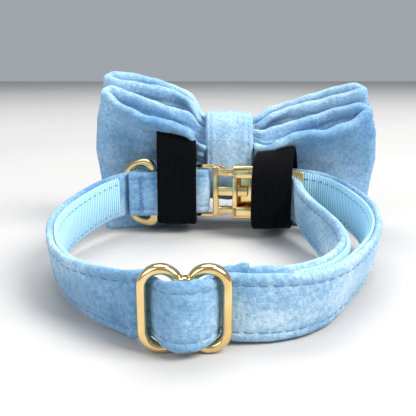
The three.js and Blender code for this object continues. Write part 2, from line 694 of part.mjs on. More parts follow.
// Closed bands round the bow's middle and round the strap. The rows run in the plane across the collar: y from
// the bow's plane, z up, and skew along X, in shares of the named sizes given with them.
function bandMesh(name, points, width, thick, material, tip = () => 0) {
  const count = points.length;
  const smooth = new THREE.CatmullRomCurve3(points, true).getPoints(count * 3).slice(0, -1);
  const rings = smooth.map((point, i) => {
    const before = smooth[(i + smooth.length - 1) % smooth.length];
    const after = smooth[(i + 1) % smooth.length];
    const along = after.clone().sub(before).setX(0).normalize();
    const face = new THREE.Vector3(0, along.z, -along.y);
    const edge = thick * 0.3;
    const section = [
      [-width / 2, -thick / 2 + edge], [-width / 2 + edge, -thick / 2],
      [width / 2 - edge, -thick / 2], [width / 2, -thick / 2 + edge],
      [width / 2, thick / 2 - edge], [width / 2 - edge, thick / 2],
      [-width / 2 + edge, thick / 2], [-width / 2, thick / 2 - edge],
    ];
    const aside = (a) => new THREE.Vector3(a, 0, -a * tip(point));
    return section.map(([a, b]) => point.clone().add(aside(a)).addScaledVector(face, b));
  });
  return loftMesh(name, rings, true, material);
}

// Knot: y is a share of the pinched stack from the bow's plane, z a share of the knot's height
const knotRows = [
  { y: 0, z: 0.1 }, { y: 0, z: 0.5 }, { y: -0.02, z: 0.86 }, { y: 0.14, z: 0.985 }, { y: 0.5, z: 1 },
  { y: 0.86, z: 0.985 }, { y: 1.02, z: 0.86 }, { y: 1.1, z: 0.5 }, { y: 1.02, z: 0.12 }, { y: 0.84, z: 0.01 },
  { y: 0.5, z: 0 }, { y: 0.14, z: 0.01 },
];
const stackDepth = 4 * pinchedThick + 4 * seamGap;
const knotNearY = bowPlaneY + 2.2;

function makeKnot() {
  const clear = knotThick / 2 + seamGap;
  const y0 = knotNearY - clear;
  const depth = stackDepth + 2 * clear;
  const height = knotTop - knotBottom - knotThick;
  const points = knotRows.map(({ y, z }) =>
    new THREE.Vector3(bowX, y0 + y * depth, knotBottom + knotThick / 2 + z * height));
  return bandMesh('knot_band', points, knotWidth, knotThick, velvet());
}

// Elastics: y is a share from the near strand to the far one, z a share of the band's height. The slope tips
// the top of a band so that it follows the rim above it.
const leftElasticRows = [
  { y: 0, z: 0.12 }, { y: -0.02, z: 0.3 }, { y: -0.02, z: 0.5 }, { y: 0, z: 0.7 }, { y: 0.02, z: 0.86 },
  { y: 0.08, z: 0.96 }, { y: 0.17, z: 1 }, { y: 0.4, z: 0.945 }, { y: 0.6, z: 0.88 }, { y: 0.78, z: 0.79 },
  { y: 0.92, z: 0.67 }, { y: 1, z: 0.5 }, { y: 1, z: 0.3 }, { y: 0.98, z: 0.1 }, { y: 0.85, z: 0.01 },
  { y: 0.5, z: 0 }, { y: 0.12, z: 0.01 },
];
const rightElasticRows = [
  { y: 0, z: 0.12 }, { y: -0.03, z: 0.3 }, { y: -0.02, z: 0.5 }, { y: 0, z: 0.68 }, { y: 0.06, z: 0.8 },
  { y: 0.18, z: 0.91 }, { y: 0.32, z: 0.98 }, { y: 0.45, z: 1 }, { y: 0.58, z: 0.965 },
  { y: 0.72, z: 0.89 }, { y: 0.84, z: 0.79 },
  { y: 0.94, z: 0.66 }, { y: 1, z: 0.5 }, { y: 1, z: 0.3 }, { y: 0.98, z: 0.1 }, { y: 0.85, z: 0.01 },
  { y: 0.5, z: 0 }, { y: 0.12, z: 0.01 },
];

function makeElastic(name, { rows, x, nearY, farY, bottom, top, skew, slope }) {
  const points = rows.map(({ y, z }) =>
    new THREE.Vector3(x + skew * y, nearY + y * (farY - nearY), bottom + z * (top - bottom)));
  const tip = (point) => (slope * Math.max(0, point.z - bottom)) / (top - bottom);
  return bandMesh(name, points, elasticWidth, elasticThick, elastic(), tip);
}

const endPlateNear = onBuckle(plateU, 0).y - femaleTurn - velvetThick / 2;
const panelFace = bowPlaneY + backBowRows[2].nearNeck * bowDepth - panelThick / 2;
const elasticFarY = panelFace - seamGap - elasticThick / 2;
const buckleFoot = backLift + strapWidth / 2 - buckleHeight / 2;
const elasticBottom = buckleFoot - seamGap - elasticThick / 2 - elasticSlack;
const leftElastic = {
  rows: leftElasticRows, x: leftElasticX, farY: elasticFarY,
  nearY: returnedY - velvetThick / 2 - seamGap - elasticThick / 2,
  bottom: elasticBottom, top: leftElasticTop, skew: 0, slope: leftElasticSlope,
};
const rightElastic = {
  rows: rightElasticRows, x: rightElasticX, farY: elasticFarY,
  nearY: endPlateNear - seamGap - elasticThick - rightElasticBulge,
  bottom: elasticBottom, top: rightElasticTop, skew: rightElasticSkew, slope: rightElasticSlope,
};

const backBow = {
  rows: backBowRows, height: backBowHeight, roll: backBowRoll, drop: rimDrop, layer: 0.8,
  leftSlump: backLeftSlump, rightSlump: backRightSlump,
  left: 'backLeft', right: 'backRight',
  knotMid: knotNearY - bowPlaneY + pinchedThick + seamGap,
};
const frontBow = {
  rows: frontBowRows, height: frontBowHeight, roll: frontBowRoll, drop: rimDrop, layer: 0,
  leftSlump: 0, rightSlump: 0,
  left: 'frontLeft', right: 'frontRight',
  knotMid: knotNearY - bowPlaneY + 3 * pinchedThick + 3 * seamGap,
};

const collar = new THREE.Group();
collar.add(...makeStrap(), makeSlide(), makeMale(), makeFemale(), makeRing());
collar.add(makeBow('bow_back', backBow), makeBow('bow_front', frontBow), makeKnot());
collar.add(makeElastic('elastic_left', leftElastic), makeElastic('elastic_right', rightElastic));

// The origin is at the middle of the footprint, on the surface that the collar rests on
const bounds = new THREE.Box3().setFromObject(collar, true);
const middle = bounds.getCenter(new THREE.Vector3());
collar.position.set(-middle.x, -middle.y, -bounds.min.z);

export default collar;
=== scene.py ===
import math

import bpy
import numpy as np
from mathutils import Matrix, Vector


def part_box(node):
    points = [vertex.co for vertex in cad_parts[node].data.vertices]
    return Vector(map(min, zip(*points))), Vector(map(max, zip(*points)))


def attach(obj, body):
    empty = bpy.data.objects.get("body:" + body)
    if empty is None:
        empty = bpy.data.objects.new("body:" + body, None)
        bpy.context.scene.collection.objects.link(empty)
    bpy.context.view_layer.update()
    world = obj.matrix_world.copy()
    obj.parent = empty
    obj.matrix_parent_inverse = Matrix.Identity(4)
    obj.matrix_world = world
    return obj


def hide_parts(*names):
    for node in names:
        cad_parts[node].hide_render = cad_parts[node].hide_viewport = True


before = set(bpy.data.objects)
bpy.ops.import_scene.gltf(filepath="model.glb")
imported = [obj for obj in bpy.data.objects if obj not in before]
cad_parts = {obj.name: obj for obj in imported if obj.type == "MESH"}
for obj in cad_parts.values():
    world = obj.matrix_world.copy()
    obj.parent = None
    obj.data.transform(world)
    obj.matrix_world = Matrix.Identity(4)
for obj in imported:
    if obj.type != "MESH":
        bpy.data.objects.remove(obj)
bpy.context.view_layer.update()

# Sizes in millimetres, as the part has them, measured from the middle of the slide
MM = 0.001
STRAP_WIDTH = 15.0
VELVET_THICK = 2.0
PRESSED_SHARE = 0.5
LINING_THICK = 0.8
LINING_WIDTH = 13.0
SEAM_GAP = 0.3
LOOP_WIDTH = 89.4
LOOP_DEPTH = 90.4
LOOP_CENTRE_X = 2.7
FRONT_Y = 1.5
FRONT_LIFT = 0.4
BACK_LIFT = 6.8
LEAN_MOST = 4.0
TAIL_LENGTH = 13.0
RETURN_LENGTH = 24.0

SLIDE_X = -4.6
SLIDE_WIDTH = 19.0
SLIDE_HEIGHT = 18.6
SLIDE_DEPTH = 2.8
SLIDE_WIRE = 2.1
SLIDE_NOTCH = 2.6
SLIDE_EASE = 0.45
PIN_RADIUS = 0.8
SLIDE_REAR_Y = 0.2
SLIDE_LIFT = 1.6
CROSS_SHARE = 0.78
WRAP_SHARE = 0.6

BUCKLE_X = -5.0
BUCKLE_YAW = -0.152
BUCKLE_HEIGHT = 18.0
MALE_BAR_WIDTH = 2.2
MALE_BAR_THICK = 1.8
MALE_BAR_AT = 2.5
MALE_SLOT = 3.3
MALE_BASE = 1.9
MOUTH_GAP = 0.9
MALE_REACH = 12.0
BODY_LENGTH = 10.0
BODY_THICK = 5.4
BODY_WALL = 1.2
FEMALE_SLOT = 4.4
END_PLATE_LENGTH = 9.0
END_PLATE_THICK = 1.8

RING_HEIGHT = 23.6
RING_DEPTH = 14.0
RING_BAND = 2.8
RING_THICK = 1.8
RING_BAR_X = -18.7
RING_YAW = -0.33
RING_DROOP = -0.06
RING_SAG = 0.6
RING_SLACK = 1.0
RING_CORNER = 3.4

BOW_X = 7.4
BOW_LEFT_REACH = 44.7
BOW_RIGHT_REACH = 49.3
BOW_DEPTH = 20.0
BOW_PLANE_Y = 95.5
PANEL_THICK = 3.0
PINCHED_THICK = 2.4
PINCH_CLEAR = 0.8
PINCH_STEP = 2.6
FOLD_RADIUS = 1.95
RIM_DROP = 1.4
LEFT_SLUMP = 3.0
RIGHT_SLUMP = 2.0
KNOT_WIDTH = 16.4
KNOT_THICK = 2.0
KNOT_BOTTOM = 9.5
KNOT_TOP = 39.6
KNOT_NEAR_Y = BOW_PLANE_Y + 2.2
ELASTIC_WIDTH = 13.0
ELASTIC_THICK = 1.2
LEFT_ELASTIC_X = -10.4
LEFT_ELASTIC_TOP = 33.4
LEFT_ELASTIC_SLOPE = 0.3
RIGHT_ELASTIC_X = 20.4
RIGHT_ELASTIC_TOP = 28.4
RIGHT_ELASTIC_SLOPE = -0.14
RIGHT_ELASTIC_SKEW = 4.5
RIGHT_ELASTIC_BULGE = 2.8

RETURN_TURN = MALE_BAR_THICK / 2 + SEAM_GAP + VELVET_THICK / 2
FEMALE_TURN = END_PLATE_THICK / 2 + 2 * SEAM_GAP + LINING_THICK + VELVET_THICK / 2
LINING_STEP = VELVET_THICK / 2 + SEAM_GAP + LINING_THICK / 2
WRAP_TURN = PIN_RADIUS + SEAM_GAP + VELVET_THICK * PRESSED_SHARE / 2
STRAP_BACK_Y = FRONT_Y + LOOP_DEPTH
MALE_BAR_Y = STRAP_BACK_Y - RETURN_TURN
RING_Y = STRAP_BACK_Y - VELVET_THICK / 2 - RING_SLACK - RING_THICK / 2
RETURNED_Y = RING_Y - RING_THICK / 2 - RING_SLACK - VELVET_THICK / 2
FEMALE_U = MALE_BAR_AT + MALE_BAR_WIDTH / 2 + MALE_SLOT + MALE_BASE + MOUTH_GAP + MALE_REACH / 3
PLATE_U = FEMALE_U + BODY_LENGTH + FEMALE_SLOT
BUCKLE_Z = BACK_LIFT + STRAP_WIDTH / 2

slide_low, slide_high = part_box("slide_adjuster")
SLIDE_MIDDLE = Vector(((slide_low.x + slide_high.x) / 2, slide_low.y, 0))
HOME = SLIDE_MIDDLE - Vector((SLIDE_X, SLIDE_REAR_Y - SLIDE_DEPTH, 0)) * MM


def place(point):
    """A point in millimetres, as the part has it, in the frame's metres."""
    return HOME + Vector(point) * MM


def lerp(a, b, t):
    return a + (b - a) * t


def smooth(value, low, high):
    t = min(1.0, max(0.0, (value - low) / (high - low)))
    return t * t * (3 - 2 * t)


def deselect():
    if bpy.context.object and bpy.context.object.mode != "OBJECT":
        bpy.ops.object.mode_set(mode="OBJECT")
    bpy.ops.object.select_all(action="DESELECT")


def pick(obj):
    deselect()
    obj.select_set(True)
    bpy.context.view_layer.objects.active = obj


# Curves


def line_through(points, closed=False):
    """A smooth line through chosen points that doesn't overshoot: gives the point at a share of it."""
    pts = [np.array(p, float) for p in points]
    count = len(pts)

    def at(t):
        p = (count if closed else count - 1) * t
        i = int(math.floor(p + 1e-9))
        w = p - i
        if closed:
            p0, p1, p2, p3 = (pts[(i + k) % count] for k in (-1, 0, 1, 2))
        else:
            if i >= count - 1:
                i, w = count - 2, 1.0
            p1, p2 = pts[i], pts[i + 1]
            p0 = pts[i - 1] if i > 0 else 2 * pts[0] - pts[1]
            p3 = pts[i + 2] if i + 2 < count else 2 * pts[-1] - pts[-2]
        d1 = float(((p1 - p2) ** 2).sum()) ** 0.25
        d1 = d1 if d1 > 1e-4 else 1.0
        d0 = float(((p0 - p1) ** 2).sum()) ** 0.25
        d0 = d0 if d0 > 1e-4 else d1
        d2 = float(((p2 - p3) ** 2).sum()) ** 0.25
        d2 = d2 if d2 > 1e-4 else d1
        m1 = ((p1 - p0) / d0 - (p2 - p0) / (d0 + d1) + (p2 - p1) / d1) * d1
        m2 = ((p2 - p1) / d1 - (p3 - p1) / (d1 + d2) + (p3 - p2) / d2) * d1
        c2 = -3 * p1 + 3 * p2 - 2 * m1 - m2
        c3 = 2 * p1 - 2 * p2 + m1 + m2
        return p1 + m1 * w + c2 * w * w + c3 * w ** 3

    return at


# Meshes


def mesh_piece(name, verts, faces, uvs=None):
    mesh = bpy.data.meshes.new(name)
    mesh.from_pydata([tuple(v) for v in verts], [], faces)
    mesh.update()
    obj = bpy.data.objects.new(name, mesh)
    bpy.context.scene.collection.objects.link(obj)
    if uvs is not None:
        layer = mesh.uv_layers.new(name="along")
        for loop in mesh.loops:
            layer.data[loop.index].uv = uvs[loop.vertex_index]
    pick(obj)
    bpy.ops.object.mode_set(mode="EDIT")
    bpy.ops.mesh.select_all(action="SELECT")
    bpy.ops.mesh.normals_make_consistent(inside=False)
    bpy.ops.object.mode_set(mode="OBJECT")
    bpy.ops.object.shade_smooth()
    deselect()
    return obj


def loft(name, rings, closed, uvs=None):
    """One skin through rings of as many points each, its ends capped unless it closes on itself."""
    size = len(rings[0])
    verts = [place(p) for ring in rings for p in ring]
    faces = []
    bands = len(rings) if closed else len(rings) - 1
    for i in range(bands):
        a = i * size
        b = ((i + 1) % len(rings)) * size
        for j in range(size):
            k = (j + 1) % size
            faces.append((a + j, b + j, b + k, a + k))
    if not closed:
        last = (len(rings) - 1) * size
        faces.append(tuple(range(size - 1, -1, -1)))
        faces.append(tuple(last + j for j in range(size)))
    flat = None if uvs is None else [uv for ring in uvs for uv in ring]
    return mesh_piece(name, verts, faces, flat)


def thread(verts, faces, start, end, lift, radius, sides=6):
    """Adds one stitch: a short thread that dips into the cloth at both ends. lift is the outward normal."""
    along = end - start
    length = along.length
    along.normalize()
    side = along.cross(lift).normalized()
    stations = ((0.0, 0.35, -0.9), (0.14, 0.9, -0.1), (0.5, 1.0, 0.15), (0.86, 0.9, -0.1), (1.0, 0.35, -0.9))
    first = len(verts)
    for share, fat, rise in stations:
        centre = start + along * (length * share) + lift * (radius * rise)
        for k in range(sides):
            angle = 2 * math.pi * k / sides
            verts.append(centre + (side * math.cos(angle) + lift * math.sin(angle)) * radius * fat)
    for i in range(len(stations) - 1):
        for k in range(sides):
            n = (k + 1) % sides
            a = first + i * sides
            faces.append((a + k, a + sides + k, a + sides + n, a + n))
    faces.append(tuple(first + k for k in range(sides - 1, -1, -1)))
    end_ring = first + (len(stations) - 1) * sides
    faces.append(tuple(end_ring + k for k in range(sides)))


# Materials


def new_material(name):
    material = bpy.data.materials.new(name)
    material.use_nodes = True
    tree = material.node_tree
    return material, tree.nodes, tree.links, tree.nodes["Principled BSDF"]


def add_noise(nodes, links, where, scale, detail=3.0, rough=0.5):
    noise = nodes.new("ShaderNodeTexNoise")
    noise.inputs["Scale"].default_value = scale
    noise.inputs["Detail"].default_value = detail
    noise.inputs["Roughness"].default_value = rough
    links.new(where, noise.inputs["Vector"])
    return noise.outputs["Fac"]


def add_ramp(nodes, links, fac, stops):
    ramp = nodes.new("ShaderNodeValToRGB")
    elements = ramp.color_ramp.elements
    elements[0].position, elements[0].color = stops[0][0], (*stops[0][1], 1)
    elements[1].position, elements[1].color = stops[-1][0], (*stops[-1][1], 1)
    for position, color in stops[1:-1]:
        element = elements.new(position)
        element.color = (*color, 1)
    links.new(fac, ramp.inputs["Fac"])
    return ramp.outputs["Color"]


def add_math(nodes, links, operation, a, b):
    node = nodes.new("ShaderNodeMath")
    node.operation = operation
    for socket, value in zip(node.inputs, (a, b)):
        if isinstance(value, (int, float)):
            socket.default_value = value
        else:
            links.new(value, socket)
    return node.outputs["Value"]


def add_bump(nodes, links, height, strength, distance, shader):
    bump = nodes.new("ShaderNodeBump")
    bump.inputs["Strength"].default_value = strength
    bump.inputs["Distance"].default_value = distance
    links.new(height, bump.inputs["Height"])
    links.new(bump.outputs["Normal"], shader.inputs["Normal"])


def velvet_material(name, stretch, dark, middle, light):
    """Pile that lies in brushed patches: each patch a little lighter or darker, with a fine nap over it."""
    material, nodes, links, shader = new_material(name)
    where = nodes.new("ShaderNodeTexCoord")
    mapping = nodes.new("ShaderNodeMapping")
    mapping.inputs["Scale"].default_value = stretch
    links.new(where.outputs["Object"], mapping.inputs["Vector"])
    patches = add_noise(nodes, links, mapping.outputs["Vector"], 62, 4.0, 0.6)
    nap = add_noise(nodes, links, where.outputs["Object"], 900, 3.0, 0.6)
    pile = add_noise(nodes, links, where.outputs["Object"], 3200, 2.0, 0.5)
    blend = add_math(nodes, links, "ADD", add_math(nodes, links, "MULTIPLY", patches, 0.68),
                     add_math(nodes, links, "MULTIPLY", nap, 0.32))
    color = add_ramp(nodes, links, blend, ((0.37, dark), (0.5, middle), (0.64, light)))
    links.new(color, shader.inputs["Base Color"])
    shader.inputs["Roughness"].default_value = 0.95
    shader.inputs["Sheen Weight"].default_value = 0.3
    shader.inputs["Sheen Roughness"].default_value = 0.35
    shader.inputs["Sheen Tint"].default_value = (0.75, 0.88, 1.0, 1)
    shader.inputs["Specular IOR Level"].default_value = 0.15
    height = add_math(nodes, links, "ADD", pile, add_math(nodes, links, "MULTIPLY", nap, 1.2))
    add_bump(nodes, links, height, 0.8, 0.0003, shader)
    return material


def webbing_material():
    """Ribbed tape: the ribs are modelled, and fine yarns run along them. Its colour has painted shade in the
    grooves and a painted highlight on each rib's crest.
    """
    material, nodes, links, shader = new_material("webbing_tape")
    where = nodes.new("ShaderNodeUVMap")
    where.uv_map = "along"
    split = nodes.new("ShaderNodeSeparateXYZ")
    links.new(where.outputs["UV"], split.inputs["Vector"])
    rib = add_math(nodes, links, "ABSOLUTE", add_math(
        nodes, links, "SINE", add_math(nodes, links, "MULTIPLY", split.outputs["X"], math.pi), 0), 0)
    yarn = add_math(nodes, links, "SINE", add_math(
        nodes, links, "MULTIPLY", split.outputs["Y"], 2 * math.pi * 2.6), 0)
    # Painted shade and highlight: the colour follows the rib profile, darker in the grooves between ribs as
    # painted shade and lighter on the rib crests as a painted highlight.
    stops = ((0.0, (0.05, 0.22, 0.44)), (0.5, (0.28, 0.58, 0.78)), (1.0, (0.46, 0.75, 0.89)))
    color = add_ramp(nodes, links, rib, stops)
    links.new(color, shader.inputs["Base Color"])
    shader.inputs["Roughness"].default_value = 0.7
    shader.inputs["Sheen Weight"].default_value = 0.25
    height = add_math(nodes, links, "ADD", add_math(nodes, links, "MULTIPLY", rib, 0.6),
                      add_math(nodes, links, "MULTIPLY", yarn, 0.25))
    add_bump(nodes, links, height, 0.5, 0.0002, shader)
    return material


def elastic_material():
    """Black knitted elastic: fine cords along the band and a short fuzz."""
    material, nodes, links, shader = new_material("black_elastic")
    where = nodes.new("ShaderNodeUVMap")
    where.uv_map = "along"
    split = nodes.new("ShaderNodeSeparateXYZ")
    links.new(where.outputs["UV"], split.inputs["Vector"])
    cord = add_math(nodes, links, "SINE", add_math(
        nodes, links, "MULTIPLY", split.outputs["Y"], 2 * math.pi * 1.15), 0)
    row = add_math(nodes, links, "SINE", add_math(
        nodes, links, "MULTIPLY", split.outputs["X"], 2 * math.pi * 1.7), 0)
    objects = nodes.new("ShaderNodeTexCoord")
    fuzz = add_noise(nodes, links, objects.outputs["Object"], 1500, 3.0, 0.6)
    color = add_ramp(nodes, links, fuzz, ((0.3, (0.001, 0.001, 0.0015)), (0.7, (0.004, 0.004, 0.005))))
    links.new(color, shader.inputs["Base Color"])
    shader.inputs["Roughness"].default_value = 0.92
    shader.inputs["Sheen Weight"].default_value = 0.02
    shader.inputs["Specular IOR Level"].default_value = 0.06
    height = add_math(nodes, links, "ADD", add_math(nodes, links, "MULTIPLY", cord, 0.5),
                      add_math(nodes, links, "MULTIPLY", row, 0.35))
    add_bump(nodes, links, add_math(nodes, links, "ADD", height, fuzz), 0.5, 0.0002, shader)
    return material


def gold_material():
    """Pale polished plating with very slight waviness and faint handling marks."""
    material, nodes, links, shader = new_material("pale_gold")
    where = nodes.new("ShaderNodeTexCoord")
    wave = add_noise(nodes, links, where.outputs["Object"], 220, 2.0, 0.4)
    marks = add_noise(nodes, links, where.outputs["Object"], 900, 4.0, 0.6)
    color = add_ramp(nodes, links, wave, ((0.3, (0.8, 0.54, 0.21)), (0.7, (0.92, 0.69, 0.35))))
    links.new(color, shader.inputs["Base Color"])
    rough = add_math(nodes, links, "ADD", add_math(nodes, links, "MULTIPLY", marks, 0.12), 0.08)
    links.new(rough, shader.inputs["Roughness"])
    shader.inputs["Metallic"].default_value = 1.0
    add_bump(nodes, links, wave, 0.12, 0.0003, shader)
    return material


def thread_material(name, dark, light):
    material, nodes, links, shader = new_material(name)
    where = nodes.new("ShaderNodeTexCoord")
    twist = add_noise(nodes, links, where.outputs["Object"], 1400, 2.0, 0.5)
    color = add_ramp(nodes, links, twist, ((0.35, dark), (0.65, light)))
    links.new(color, shader.inputs["Base Color"])
    shader.inputs["Roughness"].default_value = 0.6
    shader.inputs["Sheen Weight"].default_value = 0.2
    add_bump(nodes, links, twist, 0.4, 0.0001, shader)
    return material


VELVET = velvet_material(
    "brushed_velvet", (0.3, 0.5, 0.8), (0.11, 0.265, 0.46), (0.24, 0.42, 0.6), (0.53, 0.69, 0.81))
BOW_VELVET = velvet_material(
    "bow_velvet", (0.45, 0.45, 0.45), (0.115, 0.27, 0.47), (0.24, 0.42, 0.61), (0.48, 0.66, 0.8))
WEBBING = webbing_material()
ELASTIC = elastic_material()
GOLD = gold_material()
EDGE_THREAD = thread_material("edge_thread", (0.07, 0.17, 0.34), (0.14, 0.28, 0.48))
KNOT_THREAD = thread_material("knot_thread", (0.13, 0.28, 0.48), (0.22, 0.4, 0.6))
TAPE_THREAD = thread_material("tape_thread", (0.07, 0.2, 0.38), (0.16, 0.33, 0.55))


def finish(obj, material, body, slot, *nodes):
    obj.data.materials.clear()
    obj.data.materials.append(material)
    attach(obj, body)
    if nodes:
        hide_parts(*nodes)


# Strap: the points of its route, with the rows that the part has

LEFT_ROUTE = (
    (-0.56, 0.997, 0.92, 0), (-0.655, 0.967, 0.88, 0), (-0.75, 0.91, 0.82, 0), (-0.84, 0.84, 0.7, 0),
    (-0.93, 0.735, 0.5, 0), (-0.99, 0.61, 0.3, 0.05), (-0.985, 0.475, 0.15, 0.2), (-0.92, 0.375, 0.08, 0.5),
    (-0.82, 0.275, 0.03, 0.9), (-0.715, 0.19, 0, 1), (-0.575, 0.105, 0, 0.7), (-0.43, 0.04, 0, 0.25))
RIGHT_ROUTE = (
    (0.2, 0.012, 0, 0.1), (0.35, 0.035, 0, 0.4), (0.47, 0.08, 0, 0.7), (0.575, 0.15, 0, 0.9),
    (0.73, 0.285, 0.03, 0.95), (0.87, 0.415, 0.08, 0.7), (0.96, 0.535, 0.15, 0.4), (1, 0.66, 0.3, 0.15),
    (0.975, 0.785, 0.5, 0), (0.9, 0.89, 0.7, 0), (0.78, 0.955, 0.88, 0), (0.64, 0.975, 0.97, 0))
INNER_ROUTE = (
    (0.585, 0.868, 0.82, -0.3), (0.62, 0.8, 0.58, -0.5), (0.645, 0.7, 0.35, -0.35), (0.675, 0.59, 0.18, -0.1),
    (0.68, 0.49, 0.08, 0.25), (0.655, 0.39, 0, 0.6), (0.59, 0.285, 0, 0.85), (0.49, 0.195, 0, 0.9),
    (0.385, 0.125, 0, 0.7), (0.3, 0.085, 0, 0.45))


def on_buckle(u, v=0.0):
    c, s = math.cos(BUCKLE_YAW), math.sin(BUCKLE_YAW)
    return (BUCKLE_X + u * c - v * s, MALE_BAR_Y - MALE_BAR_AT * s + u * s + v * c)


def route_point(row):
    x, y, lift, lean = row
    return (LOOP_CENTRE_X + x * LOOP_WIDTH / 2, FRONT_Y + y * LOOP_DEPTH,
            FRONT_LIFT + lift * (BACK_LIFT - FRONT_LIFT), lean * LEAN_MOST, 1, 1)


def flat_point(x, y, lift, full=1.0, wide=1.0):
    return (x, y, lift, 0, full, wide)


def turn_points(centre, radius, start, lift, full, wide=1.0, steps=6):
    angles = [math.radians(start + 180 * i / steps) for i in range(steps + 1)]
    return [flat_point(centre[0] + radius * math.cos(a), centre[1] + radius * math.sin(a), lift, full, wide)
            for a in angles]


def strap_route():
    male = on_buckle(MALE_BAR_AT)
    plate = on_buckle(PLATE_U)
    returned = [
        flat_point(male[0] - RETURN_LENGTH, RETURNED_Y + 0.2, BACK_LIFT * 0.9),
        flat_point(RING_BAR_X - RING_BAND / 2, RETURNED_Y, BACK_LIFT * 0.92),
        flat_point(RING_BAR_X + RING_BAND, RETURNED_Y, BACK_LIFT * 0.95),
        flat_point(male[0] - 6, male[1] - RETURN_TURN, BACK_LIFT)]
    male_turn = turn_points(male, RETURN_TURN, -90, BACK_LIFT, 1)
    outer_back = [
        flat_point(male[0] - 8, male[1] + RETURN_TURN, BACK_LIFT),
        flat_point(RING_BAR_X, RING_Y + RING_THICK / 2 + RING_SLACK + VELVET_THICK / 2, BACK_LIFT * 0.94)]
    side_bar = SLIDE_WIDTH / 2 - SLIDE_WIRE / 2
    behind = SLIDE_REAR_Y + SEAM_GAP + VELVET_THICK / 2
    pin_y = SLIDE_REAR_Y - PIN_RADIUS
    crest = (pin_y - WRAP_TURN - VELVET_THICK * PRESSED_SHARE / 2 - 2 * SEAM_GAP - LINING_THICK
             - VELVET_THICK / 2)
    weave = [
        flat_point(SLIDE_X - side_bar - 2.4, behind + 1.4, FRONT_LIFT + 0.5),
        flat_point(SLIDE_X - side_bar + 0.2, behind + 0.4, SLIDE_LIFT, 0.9, 0.98),
        flat_point(SLIDE_X - side_bar + 2.2, behind - 1.3, SLIDE_LIFT, 0.8, 0.87),
        flat_point(SLIDE_X - side_bar + 4.2, crest + 1.9, SLIDE_LIFT, 0.8, 0.92),
        flat_point(SLIDE_X - 2, crest + 0.2, SLIDE_LIFT, 0.8, 0.97),
        flat_point(SLIDE_X + 0.6, crest + 0.1, SLIDE_LIFT, 0.8, 0.97),
        flat_point(SLIDE_X + 3.2, crest + 1.3, SLIDE_LIFT, 0.8, 0.97),
        flat_point(SLIDE_X + side_bar - 2.9, behind - 3.1, SLIDE_LIFT, 0.8, 0.9),
        flat_point(SLIDE_X + side_bar - 1.5, behind, SLIDE_LIFT, 0.8, 0.87),
        flat_point(SLIDE_X + side_bar + 0.6, behind + 0.4, FRONT_LIFT + 0.5, 1, 0.98)]
    plate_turn = turn_points(plate, FEMALE_TURN, 90, BACK_LIFT, 1)
    press = PRESSED_SHARE
    tail_y = behind + LINING_STEP + LINING_THICK / 2 + SEAM_GAP + VELVET_THICK * press / 2 + 0.3
    inner_y = tail_y + VELVET_THICK * press + SEAM_GAP
    inner = [
        flat_point(SLIDE_X + TAIL_LENGTH + 1, inner_y + 0.5, FRONT_LIFT, press * 1.4),
        flat_point(SLIDE_X + side_bar, inner_y - 0.2, SLIDE_LIFT, press, 0.9),
        flat_point(SLIDE_X + side_bar - 2.4, inner_y - 0.7, SLIDE_LIFT, press, CROSS_SHARE),
        flat_point(SLIDE_X + 3.25, inner_y - 2.6, SLIDE_LIFT, press, WRAP_SHARE),
        flat_point(SLIDE_X + 1.6, inner_y - 4.4, SLIDE_LIFT, press, WRAP_SHARE)]
    wrap = turn_points((SLIDE_X, pin_y), WRAP_TURN, 90, SLIDE_LIFT, press, WRAP_SHARE, 8)
    tail = [
        flat_point(SLIDE_X + 1.35, pin_y - WRAP_TURN + 0.8, SLIDE_LIFT, press, WRAP_SHARE),
        flat_point(SLIDE_X + 2.5, tail_y - 4.4, SLIDE_LIFT, press, WRAP_SHARE),
        flat_point(SLIDE_X + 4.3, tail_y - 2.1, SLIDE_LIFT, press, WRAP_SHARE),
        flat_point(SLIDE_X + 6.6, tail_y - 0.5, SLIDE_LIFT, press, CROSS_SHARE),
        flat_point(SLIDE_X + TAIL_LENGTH - 2, tail_y + 0.1, SLIDE_LIFT, press),
        flat_point(SLIDE_X + TAIL_LENGTH, tail_y + 0.3, SLIDE_LIFT, press)]
    groups = [returned, male_turn, outer_back, [route_point(r) for r in LEFT_ROUTE], weave,
              [route_point(r) for r in RIGHT_ROUTE], plate_turn, [route_point(r) for r in INNER_ROUTE],
              inner, wrap, tail]
    starts = [sum(len(g) for g in groups[:i]) for i in range(len(groups))]
    return [p for g in groups for p in g], starts


ROUTE, STARTS = strap_route()
ROUTE_LINE = line_through([p[:3] for p in ROUTE])
ROUTE_EXTRA = line_through([p[3:] for p in ROUTE])


def station_at(t):
    """Foot, width axis, velvet's outward side, thickness share and width share at one place on the route."""
    foot = Vector(ROUTE_LINE(t))
    lean, full, wide = ROUTE_EXTRA(t)
    foot.z += STRAP_WIDTH * (1 - wide) / 2
    step = 1e-4
    ahead, behind = ROUTE_LINE(min(1.0, t + step)), ROUTE_LINE(max(0.0, t - step))
    along = Vector((ahead[0] - behind[0], ahead[1] - behind[1], 0)).normalized()
    face = Vector((along.y, -along.x, 0))
    outside = math.copysign(1, face.dot(Vector((foot.x - LOOP_CENTRE_X, foot.y - LOOP_DEPTH / 2, 0))))
    tilt = lean * outside / STRAP_WIDTH
    across = Vector((0, 0, math.sqrt(1 - tilt * tilt))) + face * tilt
    level = face * across.z + Vector((0, 0, -tilt))
    return foot, across, level, full, wide


def even_stations(first, last, step):
    """Stations a fixed distance apart between two of the route's points, with the length so far."""
    top = len(ROUTE) - 1
    ts = np.linspace(first / top, last / top, int((last - first) * 24) + 1)
    points = np.array([ROUTE_LINE(t) for t in ts])
    far = np.concatenate([[0], np.cumsum(np.linalg.norm(np.diff(points[:, :2], axis=0), axis=1))])
    count = max(2, int(round(far[-1] / step)))
    lengths = np.linspace(0, far[-1], count + 1)
    return [(s, station_at(t)) for s, t in zip(lengths, np.interp(lengths, far, ts))]


